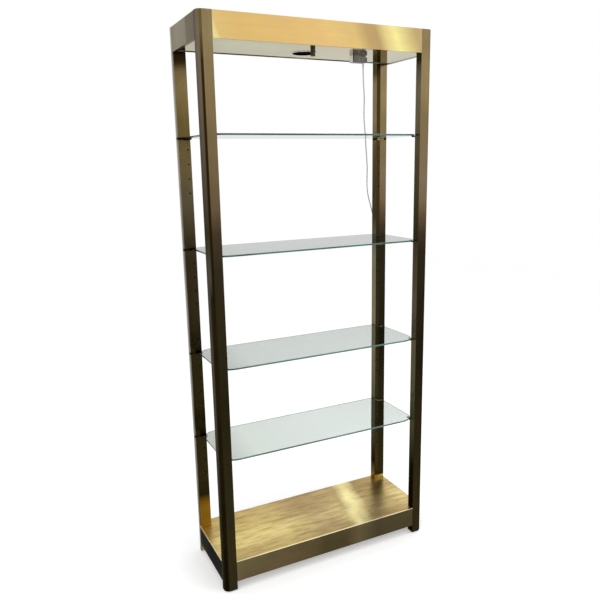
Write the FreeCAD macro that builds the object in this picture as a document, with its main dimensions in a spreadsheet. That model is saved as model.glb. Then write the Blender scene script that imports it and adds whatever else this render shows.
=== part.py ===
"""Brass and glass etagere with a lighted canopy, as a parametric FreeCAD document.

Millimetres, +Z up.  The origin is on the floor under the middle of the object, +X to its right
and +Y to its rear.  Every size is a formula of the "Sizes" sheet.
"""

import FreeCAD, Part
import math
import os
import Sketcher

Vector = FreeCAD.Vector

# Driving dimensions: name, value, what it measures.
DRIVING = [
    ("overall_width", 880, "outside of the posts, left to right"),
    ("overall_depth", 326, "outside of the posts, front to rear"),
    ("overall_height", 2000, "floor to the top of the posts"),
    ("foot_clearance", 5, "floor to the foot of the posts"),
    ("post_width", 48, "post, left to right"),
    ("post_depth", 33, "post, front to rear"),
    ("post_wall", 1.6, "wall of the post's tube"),
    ("post_outer_radius", 22, "outermost corner of the post"),
    ("post_edge_radius", 1.5, "other three corners of the post"),
    ("cap_thickness", 3, "plate that closes the post's top"),
    ("plug_thickness", 12, "threaded plug in the post's foot"),
    ("plug_clearance", 0.05, "caps and plugs in the post, all round"),
    ("glide_diameter", 22, "levelling pad"),
    ("glide_pad_gap", 0.5, "levelling pad to the post's foot"),
    ("glide_pad_bevel", 0.8, "bevel of the pad's edge"),
    ("glide_stem_diameter", 8, "threaded stem of the glide"),
    ("glide_stem_length", 34, "stem above the post's foot"),
    ("running_clearance", 0.1, "on the diameter of a turning fit"),
    ("sheet_thickness", 1.5, "brass sheet of canopy and base"),
    ("return_width", 12, "inward returns of the aprons"),
    ("seam", 0.2, "gap between sheet pieces and posts"),
    ("bend_radius", 1.3, "rounded lower edge of the aprons"),
    ("cover_edge_radius", 0.8, "rounded rim of the top panel and the deck"),
    ("canopy_height", 81, "canopy, bottom of the fascia to the top"),
    ("rear_apron_rise", 12, "lower edge of the rear apron above the fascia's"),
    ("base_clearance", 37, "floor to the base aprons"),
    ("base_height", 81, "base, bottom of the aprons to the deck's top"),
    ("board_thickness", 12, "board under the deck"),
    ("board_margin", 1.5, "gap round the board"),
    ("bracket_leg", 20, "leg of a corner bracket"),
    ("bracket_thickness", 2, "plate of a corner bracket"),
    ("bracket_height", 50, "corner bracket, up and down"),
    ("bracket_rise", 6, "corner bracket above the return under it"),
    ("bracket_screw_pitch", 30, "between the two screws of a bracket"),
    ("bracket_screw_inset", 12, "bracket screws from the apron's inner face"),
    ("frame_screw_diameter", 4, "thread of the bracket screws"),
    ("frame_screw_reach", 4, "bracket screws past the post's wall"),
    ("cover_screw_diameter", 3, "thread of the panel and board screws"),
    ("cover_screw_pitch", 250, "panel and board screws along the long sides"),
    ("cover_screw_length", 8, "countersunk panel screws"),
    ("countersink", 1.35, "countersink of the top panel's holes"),
    ("thread_clearance", 0.1, "screw thinner than its threaded hole"),
    ("through_clearance", 0.2, "plain screw holes wider than the thread"),
    ("soffit_rear_inset", 45, "rear edge of the soffit to the rear of the posts"),
    ("soffit_gap", 1, "gap round the soffit"),
    ("soffit_lip", 10, "upturned rear lip of the soffit"),
    ("can_diameter", 86, "outside of the lamp can"),
    ("can_wall", 0.8, "sheet of the lamp can"),
    ("can_gap", 0.5, "lamp can in its hole in the soffit"),
    ("can_height", 74, "lamp can above the soffit's underside"),
    ("can_flange", 7, "flange of the can on top of the soffit"),
    ("can_port_diameter", 7, "wire holes in the can"),
    ("can_port_depth", 9, "wire holes below the can's top"),
    ("trim_rim", 4.5, "trim ring beyond the lamp can"),
    ("trim_thickness", 1.4, "trim ring under the soffit"),
    ("trim_sleeve", 6, "sleeve of the trim ring in the can"),
    ("baffle_height", 13, "black stepped baffle"),
    ("baffle_step", 4, "inward step of each baffle ring"),
    ("lamp_diameter", 50, "reflector lamp"),
    ("lamp_recess", 9, "lamp's face above the soffit's underside"),
    ("lamp_body_height", 46, "lamp without its pins"),
    ("lamp_neck_diameter", 24, "neck of the lamp"),
    ("lamp_pin_diameter", 5, "contact pins of the lamp"),
    ("lamp_pin_pitch", 10, "between the contact pins"),
    ("lamp_pin_length", 6, "contact pins"),
    ("holder_diameter", 28, "lampholder"),
    ("switch_setback", 70, "switch in front of the lamp"),
    ("switch_body_diameter", 24, "switch above the soffit"),
    ("switch_body_height", 25, "switch above the soffit"),
    ("bushing_diameter", 10, "threaded bushing of the switch"),
    ("bushing_reach", 4, "bushing below the soffit"),
    ("nut_across_corners", 14, "nut of the switch"),
    ("nut_height", 2, "nut of the switch"),
    ("shaft_diameter", 6, "switch shaft"),
    ("knob_diameter", 17, "switch knob"),
    ("knob_height", 20.5, "switch knob"),
    ("knob_gap", 0.5, "knob under the soffit"),
    ("knob_edge", 1.2, "bevel of the knob's rims"),
    ("knob_recess_diameter", 15, "recess of the knob round the nut"),
    ("knob_recess_depth", 5, "recess of the knob round the nut"),
    ("knob_bore_depth", 14, "shaft bore past the recess"),
    ("knob_flutes", 24, "count of flutes round the knob"),
    ("flute_diameter", 1.2, "flutes of the knob"),
    ("set_screw_diameter", 3, "set screw of the knob"),
    ("box_left", 190, "junction box, left side"),
    ("box_length", 56, "junction box, left to right"),
    ("box_front", 20, "front of the junction box before the middle"),
    ("box_depth", 25, "junction box, front to rear"),
    ("box_height", 23, "junction box under the soffit"),
    ("box_wall", 1.5, "wall of the junction box"),
    ("box_edge_radius", 1.2, "rounded edges of the junction box"),
    ("ear_reach", 7, "ear on the junction box's right side"),
    ("ear_height", 16, "ear on the junction box's right side"),
    ("box_screw_offset", 27, "cover screw from the box's left side"),
    ("box_screw_drop", 13.5, "cover screw under the soffit"),
    ("lead_offset", 49, "lead from the box's left side"),
    ("lead_inset", 8, "lead from the box's front"),
    ("lead_diameter", 5, "supply lead"),
    ("relief_diameter", 7.5, "strain relief at the box"),
    ("relief_length", 20, "strain relief under the box"),
    ("relief_flange", 1.5, "flanges of the strain relief"),
    ("relief_flange_rim", 1.2, "flanges beyond the strain relief's shaft"),
    ("wire_diameter", 2.4, "wires in the canopy"),
    ("grommet_offset", 15, "wire grommet from the box's left side"),
    ("grommet_inset", 12, "wire grommet from the box's front"),
    ("grommet_diameter", 9, "hole of the wire grommet"),
    ("grommet_flange", 1.5, "flanges of the wire grommet"),
    ("coil_x", 310, "middle of the put-away coil"),
    ("coil_rear_gap", 59, "middle of the coil behind the posts"),
    ("coil_turn_diameter", 56, "coil at the middle of its turns"),
    ("coil_bundle", 13, "thickness of the bundled turns"),
    ("plug_length", 30, "plug body"),
    ("plug_width", 24, "plug body"),
    ("plug_height", 15, "plug body"),
    ("plug_edge_radius", 3, "rounded edges of the plug body"),
    ("plug_x", 387, "rear end of the plug body"),
    ("plug_sleeve_length", 16, "tapered sleeve of the plug"),
    ("plug_sleeve_diameter", 9, "wide end of the plug's sleeve"),
    ("blade_length", 17, "contact blades"),
    ("blade_width", 6.3, "contact blades"),
    ("blade_thickness", 1.5, "contact blades"),
    ("blade_pitch", 12.7, "between the contact blades"),
    ("glass_thickness", 6, "glass shelves"),
    ("shelf_side_inset", 29.5, "end of the glass to the outside of the posts"),
    ("shelf_edge_inset", 21, "long edge of the glass to the outside of the posts"),
    ("shelf_corner_radius", 56, "corners of the glass"),
    ("glass_arris", 0.8, "bevelled edges of the glass"),
    ("top_shelf_level", 1638, "upper face of the top shelf"),
    ("upper_shelf_level", 1243.5, "upper face of the upper shelf"),
    ("lower_shelf_level", 848.5, "upper face of the lower shelf"),
    ("bottom_shelf_level", 510, "upper face of the bottom shelf"),
    ("seat_gap", 0.1, "glass over its pads"),
    ("pad_thickness", 1, "rubber pads under the glass"),
    ("pad_length", 14, "rubber pads, front to rear"),
    ("pad_margin", 1, "bare rim of the support round its pad"),
    ("support_width", 20, "tab of a shelf support, left to right"),
    ("support_reach", 24, "tab of a shelf support, front to rear"),
    ("support_thickness", 3, "tab of a shelf support"),
    ("support_corner_radius", 5, "corners of the tab"),
    ("collar_diameter", 9, "collar of a support against the post"),
    ("collar_length", 2, "collar of a support"),
    ("pin_length", 12, "pin of a support in the post"),
    ("pin_clearance", 0.2, "pin thinner than its hole"),
    ("hole_diameter", 6, "support holes"),
    ("hole_inset", 11, "support holes from the post's inner side"),
    ("hole_pitch", 50.8, "between the spare support holes"),
    ("top_hole_drop", 36, "first spare hole of the top shelf's group"),
]
SPARE_HOLES = 4

# The supply lead, from the strain relief down to the put-away coil.
LEAD_POINTS = [
    (239.5, -11.5, 1856), (248, 1, 1838), (270, 33, 1811), (293, 66, 1780), (312, 99, 1748),
    (331, 131, 1716), (351, 158, 1684), (362, 169, 1641), (367, 171.5, 1591), (371, 171, 1546),
    (373.5, 172, 1508),
    (371.5, 171.5, 1470), (373, 173, 1430), (382, 174, 1388), (397, 175.5, 1347), (409, 176, 1300),
    (413, 177, 1240), (411, 175.5, 1176), (408.5, 176, 1112), (412, 177.5, 1049), (416, 176, 986),
    (413, 175, 922), (409.5, 176.5, 858), (411, 178, 795), (415, 176.5, 731), (417, 175, 668),
    (414, 176, 604), (410, 177.5, 541), (409, 176, 477), (413, 175, 413), (416, 176.5, 350),
    (414, 178, 287), (410, 178.5, 224), (408.5, 177, 162), (411, 178, 104), (408, 180, 61),
    (394, 185, 27), (364, 191.5, 9),
]

document = FreeCAD.newDocument("Etagere")
sheet = document.addObject("Spreadsheet::Sheet", "Sizes")
for row, (alias, value, meaning) in enumerate(DRIVING, start=1):
    sheet.set(f"A{row}", alias)
    sheet.set(f"B{row}", str(value))
    sheet.set(f"C{row}", meaning)
    sheet.setAlias(f"B{row}", alias)
document.recompute()

# Places that several pieces share, as formulas of the sheet.
HALF_WIDTH = "Sizes.overall_width / 2"
HALF_DEPTH = "Sizes.overall_depth / 2"
TOP = "Sizes.overall_height"
POST_X = f"({HALF_WIDTH} - Sizes.post_width)"
POST_Y = f"({HALF_DEPTH} - Sizes.post_depth)"
WEB_X = f"({HALF_WIDTH} - Sizes.sheet_thickness)"
WEB_Y = f"({HALF_DEPTH} - Sizes.sheet_thickness)"
FOOT = "Sizes.foot_clearance"
CANOPY_BOTTOM = f"({TOP} - Sizes.canopy_height)"
CANOPY_COVER = f"({TOP} - Sizes.sheet_thickness)"
BASE_BOTTOM = "Sizes.base_clearance"
BASE_TOP = "(Sizes.base_clearance + Sizes.base_height)"
BASE_COVER = f"({BASE_TOP} - Sizes.sheet_thickness)"
SOFFIT = f"({CANOPY_BOTTOM} + Sizes.sheet_thickness)"
SOFFIT_UPPER = f"({SOFFIT} + Sizes.sheet_thickness)"
SOFFIT_REAR = f"({HALF_DEPTH} - Sizes.soffit_rear_inset)"
RETURN_MIDDLE_X = f"({HALF_WIDTH} - (Sizes.return_width + Sizes.sheet_thickness) / 2)"
RETURN_MIDDLE_Y = f"({HALF_DEPTH} - (Sizes.return_width + Sizes.sheet_thickness) / 2)"
BRACKET_SCREW_X = f"({WEB_X} - Sizes.bracket_screw_inset)"
BRACKET_SCREW_Y = f"({WEB_Y} - Sizes.bracket_screw_inset)"
CANOPY_BRACKET = f"({SOFFIT} + Sizes.rear_apron_rise + Sizes.bracket_rise)"
BASE_BRACKET = f"({BASE_BOTTOM} + Sizes.sheet_thickness + Sizes.bracket_rise)"
HOLE_X = f"({POST_X} + Sizes.hole_inset)"
SHELF_LEVELS = {
    "top": "Sizes.top_shelf_level",
    "upper": "Sizes.upper_shelf_level",
    "lower": "Sizes.lower_shelf_level",
    "bottom": "Sizes.bottom_shelf_level",
}
BOX_RIGHT = "(Sizes.box_left + Sizes.box_length)"
BOX_REAR = "(Sizes.box_depth - Sizes.box_front)"
BOX_BOTTOM = f"({SOFFIT} - Sizes.box_height)"
BOX_FLOOR = f"({BOX_BOTTOM} + Sizes.box_wall)"
LEAD_X = "(Sizes.box_left + Sizes.lead_offset)"
LEAD_Y = "(Sizes.lead_inset - Sizes.box_front)"
LEAD_START = f"({BOX_BOTTOM} - Sizes.relief_flange - Sizes.relief_length)"
GROMMET_X = "(Sizes.box_left + Sizes.grommet_offset)"
GROMMET_Y = "(Sizes.grommet_inset - Sizes.box_front)"
CAN_TOP = f"({SOFFIT} + Sizes.can_height)"
CAN_CEILING = f"({CAN_TOP} - Sizes.can_wall)"
CAN_PORT = f"({CAN_TOP} - Sizes.can_port_depth)"
LAMP_TOP = f"({SOFFIT} + Sizes.lamp_recess + Sizes.lamp_body_height)"
COIL_Y = f"({HALF_DEPTH} + Sizes.coil_rear_gap)"

nodes = []
AXES = {"x": Vector(1, 0, 0), "y": Vector(0, 1, 0), "z": Vector(0, 0, 1)}


def number(formula):
    """The value of a formula of the sheet."""
    return float(sheet.evalExpression(str(formula)))


def node(thing, label):
    """Keep a finished piece under its own label."""
    thing.Label = label
    nodes.append(thing)
    return thing


def place(thing, x="0", y="0", z="0"):
    """Bind a piece's place to three formulas."""
    for axis, formula in zip("xyz", (x, y, z)):
        thing.setExpression(f"Placement.Base.{axis}", formula)


# ---- Part primitives and booleans -----------------------------------------------------------

def block(name, x, y, z):
    """A box between two formulas on each axis."""
    solid = document.addObject("Part::Box", name)
    for side, (low, high) in zip(("Length", "Width", "Height"), (x, y, z)):
        solid.setExpression(side, f"({high}) - ({low})")
    place(solid, x[0], y[0], z[0])
    return solid


def rod(name, axis, centre, span, diameter):
    """A cylinder along an axis; centre gives the place on the other two axes, in their order."""
    solid = document.addObject("Part::Cylinder", name)
    solid.setExpression("Radius", f"({diameter}) / 2")
    solid.setExpression("Height", f"({span[1]}) - ({span[0]})")
    solid.Placement.Rotation = FreeCAD.Rotation(AXES["z"], AXES[axis])
    spots = list(centre)
    spots.insert("xyz".index(axis), span[0])
    place(solid, *spots)
    return solid


def cone(name, axis, centre, span, diameters):
    """A frustum along an axis, with its first and last diameter."""
    solid = document.addObject("Part::Cone", name)
    solid.setExpression("Radius1", f"({diameters[0]}) / 2")
    solid.setExpression("Radius2", f"({diameters[1]}) / 2")
    solid.setExpression("Height", f"({span[1]}) - ({span[0]})")
    solid.Placement.Rotation = FreeCAD.Rotation(AXES["z"], AXES[axis])
    spots = list(centre)
    spots.insert("xyz".index(axis), span[0])
    place(solid, *spots)
    return solid


def fuse(name, pieces):
    """One solid out of several that touch."""
    joined = document.addObject("Part::MultiFuse", name)
    joined.Shapes = pieces
    joined.Refine = True
    return joined


def group(name, pieces):
    """Several separate solids kept as one piece."""
    compound = document.addObject("Part::Compound", name)
    compound.Links = pieces
    return compound


def cut(name, base, tools):
    """The base less every tool."""
    result = document.addObject("Part::Cut", name)
    result.Base = base
    result.Tool = tools[0] if len(tools) == 1 else fuse(f"{name}_tools", tools)
    return result


def mirrored(source, name, axis):
    """The source's twin on the other side of the middle."""
    twin = document.addObject("Part::Mirroring", name)
    twin.Source = source
    twin.Normal = AXES[axis]
    return twin


def corner_twins(source, name):
    """A piece of the rear right corner and its twins at the other three."""
    front_right = mirrored(source, f"{name}_front_right", "y")
    rear_left = mirrored(source, f"{name}_rear_left", "x")
    front_left = mirrored(rear_left, f"{name}_front_left", "y")
    return {"rear_right": source, "front_right": front_right,
            "rear_left": rear_left, "front_left": front_left}


# ---- Sketches and Part Design features ------------------------------------------------------

def new_body(name):
    return document.addObject("PartDesign::Body", name)


def sketch_on(body, name, plane, offset="0"):
    """A sketch on an origin plane of its own body, moved along the plane's normal."""
    sketch = body.newObject("Sketcher::SketchObject", f"{body.Name}_{name}")
    support = next(item for item in body.Origin.OriginFeatures if item.Role == f"{plane}_Plane")
    sketch.AttachmentSupport = (support, [""])
    sketch.MapMode = "FlatFace"
    sketch.setExpression("AttachmentOffset.Base.z", offset)
    return sketch


def pin(sketch, kind, geometry, formula):
    """Bind one dimension of the sketch to a formula; geometry holds the constraint's indices."""
    constraint = Sketcher.Constraint(kind, *geometry, number(formula))
    index = sketch.addConstraint(constraint)
    sketch.setExpression(f"Constraints[{index}]", formula)


def draw_outline(sketch, corners):
    """A closed outline through corners, each a pair of formulas."""
    points = [Vector(number(x), number(y), 0) for x, y in corners]
    count = len(points)
    for index in range(count):
        line = Part.LineSegment(points[index], points[(index + 1) % count])
        sketch.addGeometry(line, False)
    for index in range(count):
        meet = Sketcher.Constraint("Coincident", index, 2, (index + 1) % count, 1)
        sketch.addConstraint(meet)
    for index, (x, y) in enumerate(corners):
        pin(sketch, "DistanceX", (-1, 1, index, 1), x)
        pin(sketch, "DistanceY", (-1, 1, index, 1), y)


def draw_circles(sketch, circles):
    """Circles given by the formulas of their centre and diameter."""
    for x, y, diameter in circles:
        centre = Vector(number(x), number(y), 0)
        circle = Part.Circle(centre, AXES["z"], number(diameter) / 2)
        index = sketch.addGeometry(circle, False)
        pin(sketch, "DistanceX", (-1, 1, index, 3), x)
        pin(sketch, "DistanceY", (-1, 1, index, 3), y)
        pin(sketch, "Diameter", (index,), diameter)


def pad(body, sketch, length, symmetric=False):
    feature = body.newObject("PartDesign::Pad", f"{sketch.Name}_pad")
    feature.Profile = sketch
    feature.setExpression("Length", length)
    if symmetric:
        feature.SideType = "Symmetric"
    document.recompute()
    return feature


def pocket(body, sketch, depth):
    """Cut the sketch out of the body, half of the depth to each side of its plane."""
    before = body.Shape.Volume
    feature = body.newObject("PartDesign::Pocket", f"{sketch.Name}_pocket")
    feature.Profile = sketch
    feature.SideType = "Symmetric"
    feature.setExpression("Length", depth)
    document.recompute()
    if body.Shape.Volume >= before:
        raise RuntimeError(f"{feature.Name} cuts nothing")
    return feature


def revolve(name, corners, x="0", y="0"):
    """A turned piece from the half section's (radius, height) corners."""
    body = new_body(name)
    sketch = sketch_on(body, "section", "XZ")
    draw_outline(sketch, corners)
    feature = body.newObject("PartDesign::Revolution", f"{name}_turned")
    feature.Profile = sketch
    feature.ReferenceAxis = (sketch, ["V_Axis"])
    feature.Angle = 360
    place(body, x, y)
    document.recompute()
    return body


def edges_at(feature, **spot):
    """Names of the edges whose ends all lie at the given coordinates."""
    names = []
    for index, edge in enumerate(feature.Shape.Edges, start=1):
        ends = [vertex.Point for vertex in edge.Vertexes]
        misses = [abs(getattr(end, axis) - number(at)) for end in ends for axis, at in spot.items()]
        if ends and max(misses) < 0.01:
            names.append(f"Edge{index}")
    return names


def dress(kind, body, base, names, size):
    """A fillet ("Fillet") or bevel ("Chamfer") on named edges of the base feature."""
    feature = body.newObject(f"PartDesign::{kind}", f"{base.Name}_{kind.lower()}")
    feature.Base = (base, names)
    feature.setExpression("Radius" if kind == "Fillet" else "Size", size)
    document.recompute()
    return feature


# ---- Posts, caps, plugs and glides ----------------------------------------------------------

def post_cell(inset):
    """Corners of the rear right post's section, each side moved in by inset."""
    left = f"{POST_X} + {inset}"
    right = f"{HALF_WIDTH} - {inset}"
    front = f"{POST_Y} + {inset}"
    rear = f"{HALF_DEPTH} - {inset}"
    return [(left, front), (right, front), (right, rear), (left, rear)]


def support_axis(level):
    """Height of the pins that carry the shelf whose upper face is at this level."""
    return (f"({level} - Sizes.glass_thickness - Sizes.seat_gap - Sizes.pad_thickness"
            " - Sizes.support_thickness / 2)")


def support_holes():
    """Heights of every support hole: the one in use and the spare ones under each shelf."""
    heights = []
    for shelf, level in SHELF_LEVELS.items():
        drop = "Sizes.top_hole_drop" if shelf == "top" else "Sizes.hole_pitch"
        heights.append(support_axis(level))
        for spare in range(SPARE_HOLES):
            heights.append(f"{support_axis(level)} - {drop} - {spare} * Sizes.hole_pitch")
    return heights


def bracket_screw_heights():
    """Heights of the screws that hold the corner brackets of base and canopy."""
    heights = []
    for bottom in (BASE_BRACKET, CANOPY_BRACKET):
        middle = f"({bottom} + Sizes.bracket_height / 2)"
        heights.append(f"{middle} - Sizes.bracket_screw_pitch / 2")
        heights.append(f"{middle} + Sizes.bracket_screw_pitch / 2")
    return heights


def post_filler(name, bottom, height, inset):
    """A solid of the rear right post's section, each side moved in by inset."""
    body = new_body(name)
    section = sketch_on(body, "section", "XY", bottom)
    draw_outline(section, post_cell(inset))
    solid = pad(body, section, height)
    outermost = edges_at(solid, x=f"{HALF_WIDTH} - {inset}", y=f"{HALF_DEPTH} - {inset}")
    dress("Fillet", body, solid, outermost, f"Sizes.post_outer_radius - {inset}")
    return body


def make_posts():
    """The drilled tube of the rear right corner and its twins."""
    height = f"{TOP} - {FOOT}"
    bar = post_filler("post_bar", FOOT, height, "0")
    others = []
    for x, y in ((POST_X, POST_Y), (HALF_WIDTH, POST_Y), (POST_X, HALF_DEPTH)):
        others += edges_at(bar.Tip, x=x, y=y)
    dress("Fillet", bar, bar.Tip, others, "Sizes.post_edge_radius")

    front_holes = sketch_on(bar, "front_holes", "XZ", f"-{POST_Y}")
    circles = [(HOLE_X, z, "Sizes.hole_diameter") for z in support_holes()]
    circles += [(BRACKET_SCREW_X, z, "Sizes.frame_screw_diameter") for z in bracket_screw_heights()]
    draw_circles(front_holes, circles)
    pocket(bar, front_holes, "4 * Sizes.post_wall")

    side_holes = sketch_on(bar, "side_holes", "YZ", POST_X)
    draw_circles(side_holes, [(BRACKET_SCREW_Y, z, "Sizes.frame_screw_diameter")
                              for z in bracket_screw_heights()])
    pocket(bar, side_holes, "4 * Sizes.post_wall")

    core = post_filler("post_core", FOOT, height, "Sizes.post_wall")
    tube = cut("post", bar, [core])
    for corner, post in corner_twins(tube, "post").items():
        node(post, f"post_{corner}")


def post_plate(name, bottom, thickness):
    """A plate that fits in the rear right post's tube."""
    return post_filler(name, bottom, thickness, "(Sizes.post_wall + Sizes.plug_clearance)")


def make_post_ends():
    cap = post_plate("post_cap", f"{TOP} - Sizes.cap_thickness", "Sizes.cap_thickness")
    node(group("post_caps", list(corner_twins(cap, "cap").values())), "post_top_caps")

    plug = post_plate("post_plug", FOOT, "Sizes.plug_thickness")
    bore = sketch_on(plug, "bore", "XY", FOOT)
    middle = (f"({POST_X} + Sizes.post_width / 2)", f"({POST_Y} + Sizes.post_depth / 2)")
    draw_circles(bore, [(*middle, "Sizes.glide_stem_diameter + Sizes.running_clearance")])
    pocket(plug, bore, "3 * Sizes.plug_thickness")
    node(group("post_plugs", list(corner_twins(plug, "plug").values())), "post_bottom_plugs")

    pad_top = f"({FOOT} - Sizes.glide_pad_gap)"
    pad_radius = "Sizes.glide_diameter / 2"
    stem_radius = "Sizes.glide_stem_diameter / 2"
    stem_top = f"({FOOT} + Sizes.glide_stem_length)"
    glide = revolve("glide", [
        ("0", "0"), (f"{pad_radius} - Sizes.glide_pad_bevel", "0"),
        (pad_radius, "Sizes.glide_pad_bevel"), (pad_radius, pad_top),
        (stem_radius, pad_top), (stem_radius, stem_top), ("0", stem_top),
    ], *middle)
    for corner, twin in corner_twins(glide, "glide").items():
        node(twin, f"levelling_glide_{corner}")


# ---- Sheet boxes of the canopy and the base -------------------------------------------------

def channel(edge, bottom, top):
    """Half section of an apron: its web at edge, with a return inwards at the bottom and the top."""
    wall = "Sizes.sheet_thickness"
    lip = f"{edge} - Sizes.return_width"
    web = f"{edge} - {wall}"
    return [
        (edge, bottom), (lip, bottom), (lip, f"{bottom} + {wall}"), (web, f"{bottom} + {wall}"),
        (web, f"{top} - {wall}"), (lip, f"{top} - {wall}"), (lip, top), (edge, top),
    ]


def long_apron(name, bottom, top):
    """The apron between the rear posts, with three screw holes in its upper return."""
    body = new_body(name)
    section = sketch_on(body, "section", "YZ")
    draw_outline(section, channel(HALF_DEPTH, bottom, top))
    length = f"2 * ({POST_X} - Sizes.seam)"
    bar = pad(body, section, length, symmetric=True)
    dress("Fillet", body, bar, edges_at(bar, y=HALF_DEPTH, z=bottom), "Sizes.bend_radius")
    holes = sketch_on(body, "holes", "XY", top)
    draw_circles(holes, [(x, RETURN_MIDDLE_Y, "Sizes.cover_screw_diameter")
                         for x in ("-Sizes.cover_screw_pitch", "0", "Sizes.cover_screw_pitch")])
    pocket(body, holes, "4 * Sizes.sheet_thickness")
    return body


def short_apron(name, bottom, top):
    """The apron between the right posts, with one screw hole in its upper return."""
    body = new_body(name)
    section = sketch_on(body, "section", "XZ")
    draw_outline(section, channel(HALF_WIDTH, bottom, top))
    length = f"2 * ({POST_Y} - Sizes.seam)"
    bar = pad(body, section, length, symmetric=True)
    dress("Fillet", body, bar, edges_at(bar, x=HALF_WIDTH, z=bottom), "Sizes.bend_radius")
    holes = sketch_on(body, "holes", "XY", top)
    draw_circles(holes, [(RETURN_MIDDLE_X, "0", "Sizes.cover_screw_diameter")])
    pocket(body, holes, "4 * Sizes.sheet_thickness")
    return body


def notched_outline(x, y, notch_x, notch_y):
    """A rectangle of half sizes x and y, with its corners cut back to notch_x and notch_y."""
    corners = []
    for sign_x, sign_y in ((1, 1), (-1, 1), (-1, -1), (1, -1)):
        notch = [(x, notch_y), (notch_x, notch_y), (notch_x, y)]
        if sign_x != sign_y:
            notch.reverse()
        corners += [(f"{sign_x} * ({a})", f"{sign_y} * ({b})") for a, b in notch]
    return corners


def cover_screw_spots():
    """Places of the screws in the upper returns."""
    spots = [(f"{sign} * {RETURN_MIDDLE_X}", "0") for sign in (-1, 1)]
    for x in ("-Sizes.cover_screw_pitch", "0", "Sizes.cover_screw_pitch"):
        spots += [(x, f"{sign} * {RETURN_MIDDLE_Y}") for sign in (-1, 1)]
    return spots


def cover(name, bottom, top):
    """The sheet that lies on the aprons, notched round the posts, with a rounded rim."""
    body = new_body(name)
    section = sketch_on(body, "section", "XY", bottom)
    notch = (f"{POST_X} - Sizes.seam", f"{POST_Y} - Sizes.seam")
    draw_outline(section, notched_outline(HALF_WIDTH, HALF_DEPTH, *notch))
    plate = pad(body, section, "Sizes.sheet_thickness")
    rim = []
    for sign in (-1, 1):
        rim += edges_at(plate, z=top, x=f"{sign} * {HALF_WIDTH}")
        rim += edges_at(plate, z=top, y=f"{sign} * {HALF_DEPTH}")
    dress("Fillet", body, plate, rim, "Sizes.cover_edge_radius")
    return body


def screw_seats(heights):
    """Places and directions of the screws through the brackets of all four corners."""
    seats = []
    seat_x = number(f"{POST_X} - Sizes.bracket_thickness")
    seat_y = number(f"{POST_Y} - Sizes.bracket_thickness")
    screw_x = number(BRACKET_SCREW_X)
    screw_y = number(BRACKET_SCREW_Y)
    for sign_x in (-1, 1):
        for sign_y in (-1, 1):
            for height in heights:
                z = number(height)
                seats.append((Vector(sign_x * seat_x, sign_y * screw_y, z), Vector(sign_x, 0, 0)))
                seats.append((Vector(sign_x * screw_x, sign_y * seat_y, z), Vector(0, sign_y, 0)))
    return seats


def copies(name, template, seats):
    """Copies of a screw that points up, each turned to its own direction."""
    shapes = []
    for seat, direction in seats:
        shape = template.Shape.copy()
        shape.Placement = FreeCAD.Placement(seat, FreeCAD.Rotation(AXES["z"], direction))
        shapes.append(shape)
    feature = document.addObject("Part::Feature", name)
    feature.Shape = Part.makeCompound(shapes)
    return feature


def pan_screw(name, diameter, length):
    """A pan-head screw, its head under the origin and its shank upwards, with a hexagon socket."""
    shank = f"({diameter} - Sizes.thread_clearance) / 2"
    head = f"0.9 * {diameter}"
    depth = f"0.6 * {diameter}"
    screw = revolve(name, [
        ("0", f"-{depth}"), (f"0.7 * {head}", f"-{depth}"), (head, f"-0.5 * {depth}"), (head, "0"),
        (shank, "0"), (shank, length), ("0", length),
    ])
    socket = document.addObject("Part::Prism", f"{name}_socket")
    socket.Polygon = 6
    socket.setExpression("Circumradius", f"0.35 * {diameter}")
    socket.setExpression("Height", depth)
    place(socket, "0", "0", f"-1.4 * {depth}")
    result = cut(f"{name}_with_socket", screw, [socket])
    document.recompute()
    return result


def bracket(name, bottom, on_side):
    """An angle in the rear right corner that joins an apron to the post's inner face."""
    z = (bottom, f"{bottom} + Sizes.bracket_height")
    plate = "Sizes.bracket_thickness"
    leg = "Sizes.bracket_leg"
    corner_x = WEB_X if on_side else POST_X
    corner_y = POST_Y if on_side else WEB_Y
    along_x = block(f"{name}_x", (f"{corner_x} - {leg}", corner_x), (f"{corner_y} - {plate}", corner_y), z)
    along_y = block(f"{name}_y", (f"{corner_x} - {plate}", corner_x), (f"{corner_y} - {leg}", corner_y), z)
    angle = fuse(f"{name}_angle", [along_x, along_y])
    drills = []
    for index, sign in enumerate(("-", "+")):
        height = f"{bottom} + Sizes.bracket_height / 2 {sign} Sizes.bracket_screw_pitch / 2"
        axis = "y" if on_side else "x"
        across = BRACKET_SCREW_X if on_side else BRACKET_SCREW_Y
        face = corner_y if on_side else corner_x
        span = (f"{face} - 2 * {plate}", f"{face} + {plate}")
        width = "Sizes.frame_screw_diameter + Sizes.through_clearance"
        drills.append(rod(f"{name}_drill_{index}", axis, (across, height), span, width))
    return cut(f"{name}_drilled", angle, drills)


def make_brackets(label, bottom):
    """The eight brackets and sixteen screws of the canopy or the base."""
    pieces = []
    for on_side in (False, True):
        name = f"{label}_{'side' if on_side else 'long'}"
        pieces += corner_twins(bracket(name, bottom, on_side), name).values()
    node(group(f"{label}_group", pieces), f"{label}_brackets")
    middle = f"{bottom} + Sizes.bracket_height / 2"
    heights = [f"{middle} {sign} Sizes.bracket_screw_pitch / 2" for sign in ("-", "+")]
    length = "Sizes.bracket_thickness + Sizes.post_wall + Sizes.frame_screw_reach"
    template = pan_screw(f"{label}_screw", "Sizes.frame_screw_diameter", length)
    node(copies(f"{label}_screws", template, screw_seats(heights)), f"{label}_bracket_screws")


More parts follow.
